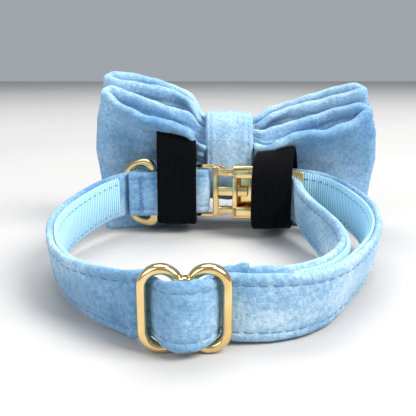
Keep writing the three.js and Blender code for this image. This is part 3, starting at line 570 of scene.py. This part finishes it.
# The band's section, by columns: height from the bottom edge in mm, offset as a share of half the thickness
STITCH_AT = 2.4
BAND_FACE = (
    (0.0, 0.0), (0.22, 0.5), (0.75, 0.86), (1.5, 1.0), (2.0, 0.93), (STITCH_AT, 0.74), (2.8, 0.93),
    (3.5, 1.04), (5.2, 1.12), (7.5, 1.15))
BAND_BACK = ((7.5, -1.0), (3.0, -1.0), (0.75, -0.86), (0.22, -0.5))


def band_section():
    face = list(BAND_FACE) + [(STRAP_WIDTH - b, a) for b, a in BAND_FACE[-2::-1]]
    back = [(STRAP_WIDTH - b, a) for b, a in sorted(BAND_BACK)] + [(b, a) for b, a in BAND_BACK[1:]]
    return face + back


def soft_wave(s, b):
    """The band is not quite even: shallow swells along it, in mm."""
    return (0.05 * math.sin(s * 0.31 + b * 0.2) + 0.05 * math.sin(s * 0.83 + 1.7 - b * 0.31)
            + 0.03 * math.sin(s * 1.9 + b * 0.7))


def band_point(s, station, b, a, lift=0.0):
    foot, across, face, full, wide = station
    half = VELVET_THICK * full / 2
    wave = soft_wave(s, b) * full * (1 if a > 0 else 0)
    return foot + face * (half * a + wave + lift) + across * (b * wide)


def make_band():
    section = band_section()
    stations = even_stations(0, len(ROUTE) - 1, 0.6)
    rings = [[band_point(s, st, b, a) for b, a in section] for s, st in stations]
    uvs = [[(s, b) for b, a in section] for s, st in stations]
    band = loft("velvet_band", rings, False, uvs)
    finish(band, VELVET, "collar", "velvet", "velvet_strap")


EDGE_PITCH = 2.9
EDGE_SHORTEST = 0.84


def make_edge_stitching():
    """Two rows of running stitches in the band's grooves, left out where the band turns too sharply."""
    verts, faces = [], []
    stations = even_stations(0, len(ROUTE) - 1, EDGE_PITCH / 4)
    for start in range(1, len(stations) - 4, 4):
        s0, a0 = stations[start]
        s1, a1 = stations[start + 3]
        for b in (STITCH_AT, STRAP_WIDTH - STITCH_AT):
            p0 = place(band_point(s0, a0, b, 0.78, 0.05))
            p1 = place(band_point(s1, a1, b, 0.78, 0.05))
            if (p1 - p0).length < EDGE_SHORTEST * MM:
                continue
            thread(verts, faces, p0, p1, a0[2].copy(), 0.17 * MM)
    stitches = mesh_piece("edge_stitching", verts, faces)
    finish(stitches, EDGE_THREAD, "collar", "velvet")


RIB_PITCH = 1.0
RIB_RISE = 0.16
TAPE_STITCH_STEP = 0.725


def make_tape():
    """The ribbed tape behind the band, with a ridge for each rib and thin woven edges."""
    margin = (STRAP_WIDTH - LINING_WIDTH) / 2
    stations = even_stations(STARTS[3] + 2, STARTS[8] - 1, RIB_PITCH / 4)
    rings, uvs = [], []
    for s, (foot, across, face, full, wide) in stations:
        near = -VELVET_THICK * full / 2 - 0.05
        rib = RIB_RISE * abs(math.sin(math.pi * s / RIB_PITCH))
        far = near - LINING_THICK - SEAM_GAP + 0.1 - rib
        top = STRAP_WIDTH * wide - margin
        edge = near - LINING_THICK * 0.75
        columns = [
            (near, margin), (near, top), (edge, top), (edge - rib * 0.5, top - 0.35), (far, top - 0.7),
            (far, (top + margin) / 2), (far, margin + 0.7), (edge - rib * 0.5, margin + 0.35), (edge, margin)]
        rings.append([foot + face * a + across * b for a, b in columns])
        uvs.append([(s / RIB_PITCH, b) for a, b in columns])
    tape = loft("webbing_tape", rings, False, uvs)
    finish(tape, WEBBING, "collar", "webbing", "webbing_lining")
    verts, faces = [], []
    lined = even_stations(STARTS[3] + 2, STARTS[8] - 1, TAPE_STITCH_STEP)
    for start in range(1, len(lined) - 4, 4):
        s0, a0 = lined[start]
        s1, a1 = lined[start + 3]
        for b in (STITCH_AT + 0.4, STRAP_WIDTH - STITCH_AT - 0.4):
            ends = []
            for s, (foot, across, face, full, wide) in ((s0, a0), (s1, a1)):
                back = -VELVET_THICK * full / 2 - LINING_THICK - SEAM_GAP - 0.05
                ends.append(place(foot + face * back + across * (b * wide)))
            thread(verts, faces, ends[0], ends[1], -a0[2], 0.2 * MM)
    stitches = mesh_piece("tape_stitching", verts, faces)
    finish(stitches, TAPE_THREAD, "collar", "webbing")


TACK_COUNT = 22
TACK_HALF = 0.75
TACK_MARGIN = 1.2


def make_bar_tack():
    """Zigzag tacks across the band that hold the ring and the folded end."""
    verts, faces = [], []
    y = RETURNED_Y - VELVET_THICK * 0.575 - 0.06
    rise = (STRAP_WIDTH - 2 * TACK_MARGIN) / TACK_COUNT
    for x in (RING_BAR_X + 4.2, RING_BAR_X - 3.6):
        for i in range(TACK_COUNT):
            z0 = BACK_LIFT * 0.94 + TACK_MARGIN + i * rise
            way = TACK_HALF if i % 2 else -TACK_HALF
            ends = place((x - way, y, z0)), place((x + way, y, z0 + rise))
            thread(verts, faces, *ends, Vector((0, -1, 0)), 0.19 * MM)
    tacks = mesh_piece("bar_tacks", verts, faces)
    finish(tacks, EDGE_THREAD, "collar", "velvet")


# Bow: rows by rise, near neck, far neck, near wing, far wing, end

BACK_ROWS = (
    (0, 0.1, 0.33, 0.02, 0.22, 0),
    (0.1, 0.14, 0.38, 0.14, 0.36, 0.08),
    (0.28, 0.14, 0.41, 0.14, 0.42, 0.12),
    (0.46, 0.14, 0.41, 0.14, 0.42, 0.1),
    (0.62, 0.13, 0.4, 0.13, 0.4, 0.02),
    (0.76, 0.1, 0.37, -0.01, 0.32, -0.06),
    (0.88, -0.11, 0.3, -0.28, 0.2, -0.14),
    (1, -0.55, 0.2, -0.58, 0.06, -0.2))
FRONT_ROWS = (
    (0, 0.53, 0.78, 0.42, 0.68, 0.38),
    (0.1, 0.61, 0.88, 0.58, 0.9, 0.46),
    (0.28, 0.63, 0.94, 0.64, 1.06, 0.5),
    (0.46, 0.63, 0.96, 0.64, 1.1, 0.48),
    (0.62, 0.62, 0.94, 0.61, 1.02, 0.4),
    (0.76, 0.59, 0.88, 0.53, 0.88, 0.32),
    (0.88, 0.52, 0.78, 0.4, 0.68, 0.24),
    (1, 0.42, 0.67, 0.27, 0.5, 0.18))
# Rows by wing: rear bow's left and right, front bow's left and right, bottom
HEIGHT_ROWS = (
    (0.2, 0.76, 0.69, 0.8, 0.75, 0.2),
    (0.35, 0.84, 0.76, 0.89, 0.8, 0.09),
    (0.45, 0.87, 0.81, 0.925, 0.84, 0.03),
    (0.6, 0.91, 0.87, 0.965, 0.9, 0),
    (0.8, 0.96, 0.95, 0.995, 0.965, 0),
    (0.95, 1, 1, 1, 1, 0),
    (1, 0.985, 0.985, 0.985, 0.985, 0))
# Rows by rise: how far the ends reach out, as a share of the widest
END_ROWS = ((0, 0.94), (0.3, 0.97), (0.6, 1), (0.8, 0.98), (1, 0.935))
KNOT_SHARE = 0.16
NECK_SHARE = 0.3
WING_SHARE = 0.6
SLUMP_SHARE = 0.75
STACK_DEPTH = 4 * PINCHED_THICK + 4 * SEAM_GAP


def read_rows(rows, at, column):
    index = next((i for i, row in enumerate(rows) if row[0] > at), len(rows) - 1) - 1
    index = max(0, min(len(rows) - 2, index))
    a, b = rows[index], rows[index + 1]
    t = min(1.0, max(0.0, (at - a[0]) / (b[0] - a[0])))
    return lerp(a[column], b[column], t * t * (3 - 2 * t) * 0.5 + t * 0.5)


def bow_point(bow, share, rise, side):
    wing = abs(share)
    reach = BOW_LEFT_REACH if share < 0 else BOW_RIGHT_REACH
    rows, height, roll, knot_mid = bow["rows"], bow["height"], bow["roll"], bow["knot_mid"]
    into_neck = smooth(wing, KNOT_SHARE, NECK_SHARE)
    into_wing = smooth(wing, NECK_SHARE, WING_SHARE)
    into_end = smooth(wing, WING_SHARE, 1)
    read = lambda column: read_rows(rows, rise, column) * BOW_DEPTH
    pinch = PINCHED_THICK / 2 + SEAM_GAP / 2
    near = lerp(knot_mid - pinch, lerp(read(1), read(3), into_wing), into_neck)
    far = lerp(knot_mid + pinch, lerp(read(2), read(4), into_wing), into_neck)
    near = lerp(near, read(5) - FOLD_RADIUS, into_end)
    far = lerp(far, read(5) + FOLD_RADIUS, into_end)
    rolled = height * (1 - roll * share)
    column = bow["left"] if share < 0 else bow["left"] + 1
    sinking = smooth(wing, 0, KNOT_SHARE) * (1 - smooth(wing, NECK_SHARE, SLUMP_SHARE))
    hollow = bow["hollow"] * smooth(wing, 0.4, 0.72) * (1 - smooth(wing, 0.88, 1))
    slump = (bow["slumps"][0 if share < 0 else 1] * sinking + hollow) * (1 - side) / 2
    pinch_top = KNOT_TOP - KNOT_THICK - PINCH_CLEAR - PINCH_STEP * (bow["layer"] + (1 - side) / 2)
    top = lerp(pinch_top, read_rows(HEIGHT_ROWS, wing, column) * rolled, into_neck) - slump
    bottom = lerp(KNOT_BOTTOM + KNOT_THICK + PINCH_CLEAR, read_rows(HEIGHT_ROWS, wing, 5) * height, into_neck)
    raised = RIM_DROP * into_neck * (side + 1) / 2
    z = lerp(bottom, top + raised * rise, rise)
    lean = lerp(1, read_rows(END_ROWS, rise, 1), smooth(wing, NECK_SHARE, 1))
    return Vector((BOW_X + share * reach * lean, BOW_PLANE_Y + lerp(near, far, (side + 1) / 2), z))


def bow_stations(panel_steps, fold_steps):
    edge = 1 - FOLD_RADIUS / BOW_LEFT_REACH
    stations = []
    for way in (1, -1):
        for i in range(panel_steps + 1):
            stations.append((way * edge * (1 - 2 * i / panel_steps), -way))
        for i in range(1, fold_steps):
            angle = math.pi * i / fold_steps
            stations.append((-way * (edge + (1 - edge) * math.sin(angle)), -way * math.cos(angle)))
    return stations


def gather(share, rise, seed):
    """How far the cloth stands out of its plain sheet: pleats at the knot that fade along the wing, in mm."""
    wing = abs(share)
    pull = smooth(wing, 0.17, 0.27) * (1 - smooth(wing, 0.3, 0.72))
    fan = 2 * math.pi * (rise * (3.4 - 1.1 * wing) + seed)
    pleat = math.sin(fan) + 0.4 * math.sin(2.3 * fan + seed * 5)
    swell = (0.16 * math.sin(share * 9.0 + seed * 7 + rise * 2.2)
             + 0.1 * math.sin(share * 23 + rise * 6 + seed * 11)
             + 0.12 * math.sin(rise * 9 - share * 5 + seed * 3))
    return 0.65 * pull * pleat + 1.3 * swell * smooth(wing, 0.24, 0.4)


def hem_share(rise):
    """The panel's thickness below the rim, as a share: two rows of sewing press it in."""
    first = 0.3 * math.exp(-((rise - 0.93) / 0.014) ** 2)
    second = 0.18 * math.exp(-((rise - 0.87) / 0.018) ** 2)
    return 1 - first - second


PANEL_STEPS = 72
END_STEPS = 10
RISE_STEPS = 60


def make_bow(name, bow, node):
    stations = bow_stations(PANEL_STEPS, END_STEPS)
    steps = RISE_STEPS
    rises = [i / steps for i in range(steps + 1)]
    grid = [[bow_point(bow, share, rise, side) for rise in rises] for share, side in stations]
    count = len(stations)
    rings = []
    for i, column in enumerate(grid):
        share, side = stations[i]
        before, after = grid[i - 1], grid[(i + 1) % count]
        half = lerp(PINCHED_THICK, PANEL_THICK, smooth(abs(share), KNOT_SHARE, NECK_SHARE)) / 2
        outer, inner = [], []
        for j, point in enumerate(column):
            along = after[j] - before[j]
            up = column[min(j + 1, steps)] - column[max(j - 1, 0)]
            normal = along.cross(up)
            if j == 0:
                normal.z = 0
            normal.normalize()
            rise = rises[j]
            folds = gather(share, rise, bow["seed"] + (0.37 if side > 0 else 0))
            thin = half * hem_share(rise)
            outer.append(point + normal * (thin + folds))
            inner.append(point + normal * (folds - thin))
        top, last = column[-1], (outer[-1] - inner[-1]).normalized()
        up = (column[-1] - column[-2]).normalized()
        middle = (outer[-1] + inner[-1]) / 2
        cap = [middle + last * (half * math.cos(a)) + up * (half * 0.8 * math.sin(a))
               for a in (math.radians(d) for d in (35, 65, 90, 115, 145))]
        rings.append(outer + cap + inner[::-1])
    obj = loft(name, rings, True)
    finish(obj, BOW_VELVET, "collar", "bow_cloth", node)


# left names the column of HEIGHT_ROWS for the left wing, and the right wing's is the next one
BACK_BOW = {
    "rows": BACK_ROWS, "height": 44.1, "roll": 0.068, "left": 1, "hollow": 3.2, "layer": 1.4,
    "slumps": (LEFT_SLUMP, RIGHT_SLUMP), "seed": 0.2,
    "knot_mid": KNOT_NEAR_Y - BOW_PLANE_Y + PINCHED_THICK + SEAM_GAP}
FRONT_BOW = {
    "rows": FRONT_ROWS, "height": 49.5, "roll": 0.041, "left": 3, "hollow": 1.2, "layer": 0,
    "slumps": (0, 0), "seed": 0.55,
    "knot_mid": KNOT_NEAR_Y - BOW_PLANE_Y + 3 * PINCHED_THICK + 3 * SEAM_GAP}

# Bands that close on themselves: rows by share of depth and share of height

KNOT_ROWS = (
    (0, 0.1), (0, 0.5), (0, 0.76), (0.08, 0.9), (0.26, 0.98), (0.55, 1), (0.86, 0.985), (1.02, 0.86),
    (1.1, 0.5), (1.02, 0.12), (0.84, 0.01), (0.5, 0), (0.14, 0.01))
LEFT_ELASTIC_ROWS = (
    (0, 0.12), (-0.02, 0.3), (-0.02, 0.5), (0, 0.7), (0.02, 0.86), (0.08, 0.96), (0.17, 1), (0.4, 0.945),
    (0.6, 0.88), (0.78, 0.79), (0.92, 0.67), (1, 0.5), (1, 0.3), (0.98, 0.1), (0.85, 0.01), (0.5, 0),
    (0.12, 0.01))
RIGHT_ELASTIC_ROWS = (
    (0, 0.12), (-0.03, 0.3), (-0.02, 0.5), (0, 0.68), (0.06, 0.8), (0.18, 0.91), (0.32, 0.98), (0.45, 1),
    (0.58, 0.965), (0.72, 0.89), (0.84, 0.79), (0.94, 0.66), (1, 0.5), (1, 0.3), (0.98, 0.1), (0.85, 0.01),
    (0.5, 0), (0.12, 0.01))


def make_loop(name, points, width, thick, steps, across, relief, tip=lambda point: 0):
    """A band along a closed line. relief gives the outer face's height at a share round it and across it."""
    line = line_through(points, closed=True)
    rings, uvs = [], []
    total = 0.0
    last = None
    for i in range(steps):
        t = i / steps
        point = Vector(line(t))
        ahead, behind = Vector(line((t + 0.002) % 1)), Vector(line((t - 0.002) % 1))
        along = ahead - behind
        along.x = 0
        along.normalize()
        face = Vector((0, along.z, -along.y))
        total += (point - last).length if last else 0
        last = point
        ring, strip = [], []
        for j in range(across + 1):
            share = j / across
            edge = min(share, 1 - share) * width
            round_off = min(1.0, edge / 0.7)
            body = thick / 2 * math.sqrt(1 - (1 - round_off) ** 2) if round_off < 1 else thick / 2
            aside = (share - 0.5) * width
            ring.append(point + Vector((aside, 0, -aside * tip(point))) - face * (body + relief(t, share)))
            strip.append((total, share * width))
        for j in range(across, -1, -2):
            share = j / across
            edge = min(share, 1 - share) * width
            body = thick / 2 * (0.2 if edge < 0.3 else 1)
            aside = (share - 0.5) * width
            ring.append(point + Vector((aside, 0, -aside * tip(point))) + face * body)
            strip.append((total, share * width))
        rings.append(ring)
        uvs.append(strip)
    return loft(name, rings, True, uvs), total


KNOT_SEAMS = (0.1, 0.9)
KNOT_STITCHES = 34


def knot_relief(t, share):
    crease = 0.3 * math.sin(2 * math.pi * (share * 2.4 + 0.15 * math.sin(t * 7)) + 0.6)
    puff = 0.45 * math.sin(math.pi * share)
    groove = -0.3 * sum(math.exp(-((share - seam) / 0.02) ** 2) for seam in KNOT_SEAMS)
    return crease * 0.5 * math.sin(math.pi * share) + puff + groove


def make_knot():
    clear = KNOT_THICK / 2 + SEAM_GAP
    depth = STACK_DEPTH + 2 * clear
    height = KNOT_TOP - KNOT_BOTTOM - KNOT_THICK
    points = [(BOW_X, KNOT_NEAR_Y - clear + y * depth, KNOT_BOTTOM + KNOT_THICK / 2 + z * height)
              for y, z in KNOT_ROWS]
    knot, around = make_loop("bow_knot", points, KNOT_WIDTH, KNOT_THICK, 120, 32, knot_relief)
    finish(knot, BOW_VELVET, "collar", "bow_cloth", "knot_band")
    line = line_through(points, closed=True)
    verts, faces = [], []
    for i in range(KNOT_STITCHES):
        for share in KNOT_SEAMS:
            ends = []
            for t in (i / KNOT_STITCHES, (i + 0.68) / KNOT_STITCHES):
                along = Vector(line((t + 0.002) % 1)) - Vector(line((t - 0.002) % 1))
                along.x = 0
                along.normalize()
                face = Vector((0, along.z, -along.y))
                out = KNOT_THICK / 2 + knot_relief(t, share) + 0.08
                aside = Vector(((share - 0.5) * KNOT_WIDTH, 0, 0))
                ends.append(place(Vector(line(t)) + aside - face * out))
            thread(verts, faces, ends[0], ends[1], -face, 0.18 * MM)
    stitches = mesh_piece("knot_stitching", verts, faces)
    finish(stitches, KNOT_THREAD, "collar", "bow_cloth")


ELASTIC_CORDS = 15


def make_elastic(name, node, rows, x, near_y, far_y, bottom, top, skew, slope, seed):
    """Skew carries the far side to the right in mm. Slope tips the top edge, the left end up."""
    points = [(x + skew * y, near_y + y * (far_y - near_y), bottom + z * (top - bottom)) for y, z in rows]

    def relief(t, share):
        cords = 0.06 * math.sin(share * 2 * math.pi * ELASTIC_CORDS)
        return cords + 0.1 * math.sin(t * 19 + share * 4 + seed)

    def tip(point):
        return slope * max(0, point.z - bottom) / (top - bottom)

    band, around = make_loop(name, points, ELASTIC_WIDTH, ELASTIC_THICK, 140, 60, relief, tip)
    finish(band, ELASTIC, "collar", "elastic", node)


def make_elastics():
    panel_face = BOW_PLANE_Y + BACK_ROWS[2][1] * BOW_DEPTH - PANEL_THICK / 2
    far_y = panel_face - SEAM_GAP - ELASTIC_THICK / 2
    foot = BUCKLE_Z - BUCKLE_HEIGHT / 2
    bottom = foot - SEAM_GAP - ELASTIC_THICK / 2 - 0.5
    left_near = RETURNED_Y - VELVET_THICK / 2 - SEAM_GAP - ELASTIC_THICK / 2
    folded = on_buckle(PLATE_U)[1] - FEMALE_TURN - VELVET_THICK / 2
    right_near = folded - SEAM_GAP - ELASTIC_THICK - RIGHT_ELASTIC_BULGE
    make_elastic(
        "left_elastic_band", "elastic_left", LEFT_ELASTIC_ROWS, LEFT_ELASTIC_X, left_near, far_y,
        bottom, LEFT_ELASTIC_TOP, 0, LEFT_ELASTIC_SLOPE, 0.4)
    make_elastic(
        "right_elastic_band", "elastic_right", RIGHT_ELASTIC_ROWS, RIGHT_ELASTIC_X, right_near, far_y,
        bottom, RIGHT_ELASTIC_TOP, RIGHT_ELASTIC_SKEW, RIGHT_ELASTIC_SLOPE, 2.1)


# Metal frames: a rounded section swept between an outer and an inner outline


def arc(centre, radius, start, end, steps):
    return [(centre[0] + radius[0] * math.cos(a), centre[1] + radius[1] * math.sin(a))
            for a in (start + (end - start) * i / steps for i in range(steps + 1))]


def slide_outline(wire):
    lobe = SLIDE_WIDTH / 4 - wire
    across = SLIDE_WIDTH / 4
    side = SLIDE_HEIGHT / 2 - SLIDE_WIDTH / 4
    reach = math.asin(min(0.95, (SLIDE_WIDTH / 4 - SLIDE_NOTCH) / (SLIDE_WIDTH / 4)))
    top = (arc((across, side), (lobe, lobe), 0, math.pi - reach, 28)
           + arc((-across, side), (lobe, lobe), reach, math.pi, 28))
    return top + [(-x, -y) for x, y in top]


def ring_outline(wire):
    half = RING_HEIGHT / 2
    corner = RING_CORNER - wire * 0.6
    across = RING_BAND / 2 - wire - corner
    high = half - wire
    reach = RING_DEPTH - RING_BAND / 2 - wire + across
    return (arc((across, high - corner), (corner, corner), 0, math.pi / 2, 12)
            + arc((across, 0), (reach, high), math.pi / 2, 1.5 * math.pi, 60)[1:-1]
            + arc((across, corner - high), (corner, corner), 1.5 * math.pi, 2 * math.pi, 12))


def swept_rings(outer, inner, depth, power, steps=16):
    """A superellipse section at each pair of outline points: the wire is rounded but not a plain tube."""
    rings = []
    for (ox, oy), (nx, ny) in zip(outer, inner):
        mid = ((ox + nx) / 2, (oy + ny) / 2)
        half = ((nx - ox) / 2, (ny - oy) / 2)
        ring = []
        for k in range(steps):
            angle = 2 * math.pi * k / steps
            c = math.copysign(abs(math.cos(angle)) ** power, math.cos(angle))
            s = math.copysign(abs(math.sin(angle)) ** power, math.sin(angle))
            ring.append(Vector((mid[0] + half[0] * c, mid[1] + half[1] * c, depth / 2 * s)))
        rings.append(ring)
    return rings


def make_slide():
    rings = swept_rings(slide_outline(0), slide_outline(SLIDE_WIRE), SLIDE_DEPTH, 0.8)
    turn = Matrix.Translation((SLIDE_X, SLIDE_REAR_Y - SLIDE_DEPTH / 2, SLIDE_HEIGHT / 2)) @ Matrix.Rotation(
        math.pi / 2, 4, "X")
    slide = loft("slide_frame", [[turn @ p for p in ring] for ring in rings], True)
    length = SLIDE_HEIGHT - 2 * (SLIDE_NOTCH + SLIDE_EASE)
    deselect()
    bpy.ops.mesh.primitive_cylinder_add(
        vertices=24, radius=PIN_RADIUS * MM, depth=length * MM,
        location=place((SLIDE_X, SLIDE_REAR_Y - PIN_RADIUS, SLIDE_HEIGHT / 2)))
    bpy.ops.object.shade_smooth_by_angle(angle=math.radians(40))
    slide.select_set(True)
    bpy.context.view_layer.objects.active = slide
    bpy.ops.object.join()
    deselect()
    finish(slide, GOLD, "collar", "gold_metal", "slide_adjuster")


def make_ring():
    rings = swept_rings(ring_outline(0), ring_outline(RING_BAND), RING_THICK, 0.55)
    turn = (Matrix.Translation((RING_BAR_X, RING_Y, BUCKLE_Z - RING_SAG)) @ Matrix.Rotation(RING_YAW, 4, "Z")
            @ Matrix.Rotation(RING_DROOP, 4, "Y") @ Matrix.Rotation(math.pi / 2, 4, "X"))
    ring = loft("ring_band", [[turn @ p for p in r] for r in rings], True)
    finish(ring, GOLD, "ring", "gold_metal", "d_ring")


# Buckle: blocks in u along it, w up and v through it, shaped in edit mode and joined

BUCKLE_TURN = (Matrix.Translation((*on_buckle(0), BUCKLE_Z)) @ Matrix.Rotation(BUCKLE_YAW, 4, "Z")
               @ Matrix.Rotation(math.pi / 2, 4, "X"))


def settle(obj, turn):
    """Puts a block made in the buckle's own millimetres into the frame, its place in its mesh."""
    for vert in obj.data.vertices:
        vert.co = place(turn @ (obj.matrix_world @ vert.co))
    obj.matrix_world = Matrix.Identity(4)


def block(u0, u1, w0, w1, v0, v1, ease=0.3, taper=None):
    """A cast block: a cube stretched to size, one end narrowed if asked, edges eased."""
    deselect()
    bpy.ops.mesh.primitive_cube_add(size=1, location=((u0 + u1) / 2, (w0 + w1) / 2, (v0 + v1) / 2))
    obj = bpy.context.object
    obj.scale = (u1 - u0, w1 - w0, v1 - v0)
    bpy.ops.object.transform_apply(location=True, rotation=True, scale=True)
    if taper:
        mesh = obj.data
        bpy.ops.object.mode_set(mode="EDIT")
        bpy.ops.mesh.select_all(action="DESELECT")
        bpy.ops.object.mode_set(mode="OBJECT")
        for face in mesh.polygons:
            face.select = face.normal.x * taper[0] > 0.9
        bpy.ops.object.mode_set(mode="EDIT")
        bpy.ops.transform.resize(value=(1, taper[1], taper[2]))
        bpy.ops.object.mode_set(mode="OBJECT")
    bevel = obj.modifiers.new("eased", "BEVEL")
    bevel.width = ease
    bevel.segments = 3
    bevel.limit_method = "ANGLE"
    bpy.ops.object.modifier_apply(modifier=bevel.name)
    settle(obj, BUCKLE_TURN)
    return obj


def rolled(u, half, radius):
    """A rolled edge across the buckle: a round rod with domed ends."""
    deselect()
    bpy.ops.mesh.primitive_cylinder_add(vertices=28, radius=radius, depth=2 * half, location=(u, 0, 0),
                                        rotation=(math.pi / 2, 0, 0))
    obj = bpy.context.object
    bpy.ops.object.transform_apply(location=True, rotation=True, scale=True)
    bevel = obj.modifiers.new("eased", "BEVEL")
    bevel.width = radius * 0.4
    bevel.segments = 3
    bevel.limit_method = "ANGLE"
    bpy.ops.object.modifier_apply(modifier=bevel.name)
    settle(obj, BUCKLE_TURN)
    return obj


def cast(name, blocks, node):
    deselect()
    for obj in blocks:
        obj.select_set(True)
    bpy.context.view_layer.objects.active = blocks[0]
    bpy.ops.object.join()
    joined = bpy.context.object
    joined.name = name
    bpy.ops.object.shade_smooth_by_angle(angle=math.radians(35))
    deselect()
    finish(joined, GOLD, "collar", "gold_metal", node)


def make_buckle():
    half = BUCKLE_HEIGHT / 2
    rail = STRAP_WIDTH / 2 + SEAM_GAP
    base_at = MALE_BAR_AT + MALE_BAR_WIDTH / 2 + MALE_SLOT
    base_end = base_at + MALE_BASE
    thick = MALE_BAR_THICK
    pronged = [rolled(MALE_BAR_AT, half, thick / 2),
               block(base_at, base_end, -half * 0.94, half * 0.94, -thick * 0.7, thick * 0.7, 0.35),
               block(base_end - 0.5, FEMALE_U + 5, -1.5, 1.5, -thick / 2, thick / 2, 0.25)]
    for side in (1, -1):
        low, high = sorted((side * rail, side * half))
        pronged.append(block(MALE_BAR_AT - 1.1, base_at + 0.5, low, high, -thick * 0.6, thick * 0.6, 0.25))
        for step in range(4):
            u = base_end + 0.3 + step * 0.75
            w0, w1 = sorted((side * half * (0.62 - step * 0.02), side * half * (1 - step * 0.03)))
            pronged.append(block(u, u + 0.5, w0, w1, -thick * 0.62, thick * 0.62, 0.14))
        w0, w1 = sorted((side * half * 0.6, side * half * 0.86))
        pronged.append(block(base_end - 0.3, FEMALE_U + 1, w0, w1, -thick / 2, thick / 2, 0.25))
    cast("prong_half", pronged, "buckle_male")
    end = FEMALE_U + BODY_LENGTH
    cap = BODY_THICK / 2
    plate = END_PLATE_THICK / 2
    socket = [block(FEMALE_U, end, half - BODY_WALL * 1.4, half, -cap, cap, 0.5),
              block(FEMALE_U, end, -half, -half + BODY_WALL * 1.4, -cap, cap, 0.5),
              block(end - BODY_WALL * 2, end, -half, half, -cap, cap, 0.5),
              block(FEMALE_U, FEMALE_U + BODY_WALL * 1.4, -half * 0.9, half * 0.9, cap - BODY_WALL, cap, 0.3),
              block(FEMALE_U, end, -half * 0.95, half * 0.95, -cap, -cap + BODY_WALL, 0.3),
              block(FEMALE_U, end, half * 0.55, half * 0.95, cap - BODY_WALL, cap, 0.35),
              block(FEMALE_U, end, -half * 0.95, -half * 0.55, cap - BODY_WALL, cap, 0.35),
              rolled(PLATE_U, half, plate),
              block(PLATE_U, PLATE_U + END_PLATE_LENGTH, -half, half, -plate, plate, 0.3, taper=(1, 0.8, 1))]
    for side in (1, -1):
        low, high = sorted((side * rail, side * half))
        socket.append(block(end - 0.5, PLATE_U + 1.2, low, high, -plate * 1.2, plate * 1.2, 0.25))
    for step in range(6):
        u = PLATE_U + 2.2 + step * 1.0
        reach = half * (0.88 - 0.02 * step)
        socket.append(block(u, u + 0.5, -reach, reach, plate - 0.2, plate + 0.25, 0.12))
        socket.append(block(u, u + 0.5, -reach, reach, -plate - 0.25, 0.2 - plate, 0.12))
    cast("socket_half", socket, "buckle_female")


# Camera, floor and light

CAMERA_BACK = 111.7
CAMERA_HIGH = 56.0
CAMERA_PITCH = math.radians(13.4)
FOCAL_PIXELS = 600.0
IMAGE_PIXELS = 416.0


def make_camera():
    data = bpy.data.cameras.new("camera")
    data.sensor_width = 36
    data.lens = FOCAL_PIXELS / IMAGE_PIXELS * 36
    data.clip_start = 0.005
    camera = bpy.data.objects.new("camera", data)
    camera.location = place((0, -CAMERA_BACK, CAMERA_HIGH))
    camera.rotation_euler = (math.pi / 2 - CAMERA_PITCH, 0, 0)
    bpy.context.scene.collection.objects.link(camera)
    bpy.context.scene.camera = camera


def make_floor():
    """A plain pale floor."""
    deselect()
    bpy.ops.mesh.primitive_plane_add(size=4, location=(0, 0, 0))
    floor = bpy.context.object
    floor.name = "pale_floor"
    material, nodes, links, shader = new_material("pale_floor")
    where = nodes.new("ShaderNodeTexCoord")
    tone = add_noise(nodes, links, where.outputs["Object"], 6, 2.0, 0.5)
    color = add_ramp(nodes, links, tone, ((0.3, (0.45, 0.441, 0.433)), (0.7, (0.48, 0.471, 0.463))))
    links.new(color, shader.inputs["Base Color"])
    shader.inputs["Roughness"].default_value = 0.8
    floor.data.materials.append(material)


def area_light(name, where, aim, size, watts, color):
    data = bpy.data.lights.new(name, "AREA")
    data.shape = "RECTANGLE"
    data.size, data.size_y = size
    data.energy = watts
    data.color = color
    lamp = bpy.data.objects.new(name, data)
    lamp.location = where
    lamp.rotation_euler = (Vector(aim) - Vector(where)).to_track_quat("-Z", "Y").to_euler()
    bpy.context.scene.collection.objects.link(lamp)


def make_light():
    world = bpy.data.worlds.new("studio")
    world.use_nodes = True
    background = world.node_tree.nodes["Background"]
    background.inputs["Color"].default_value = (0.78, 0.84, 0.92, 1)
    background.inputs["Strength"].default_value = 0.45
    bpy.context.scene.world = world
    bpy.context.scene.view_settings.view_transform = "Standard"
    area_light("window", (0.62, -0.3, 0.75), (0, 0.02, 0.01), (0.55, 0.6), 15.0, (1.0, 0.99, 0.97))
    area_light("fill", (-0.6, -0.6, 0.55), (0, 0, 0.02), (0.6, 0.6), 4.5, (0.95, 0.97, 1.0))
    area_light("top", (0.0, 0.5, 1.1), (0, 0.1, 0.02), (0.9, 0.7), 12.0, (1.0, 1.0, 1.0))


make_camera()
make_floor()
make_light()
make_band()
make_edge_stitching()
make_tape()
make_bar_tack()
make_bow("rear_bow", BACK_BOW, "bow_back")
make_bow("front_bow", FRONT_BOW, "bow_front")
make_knot()
make_elastics()
make_slide()
make_ring()
make_buckle()
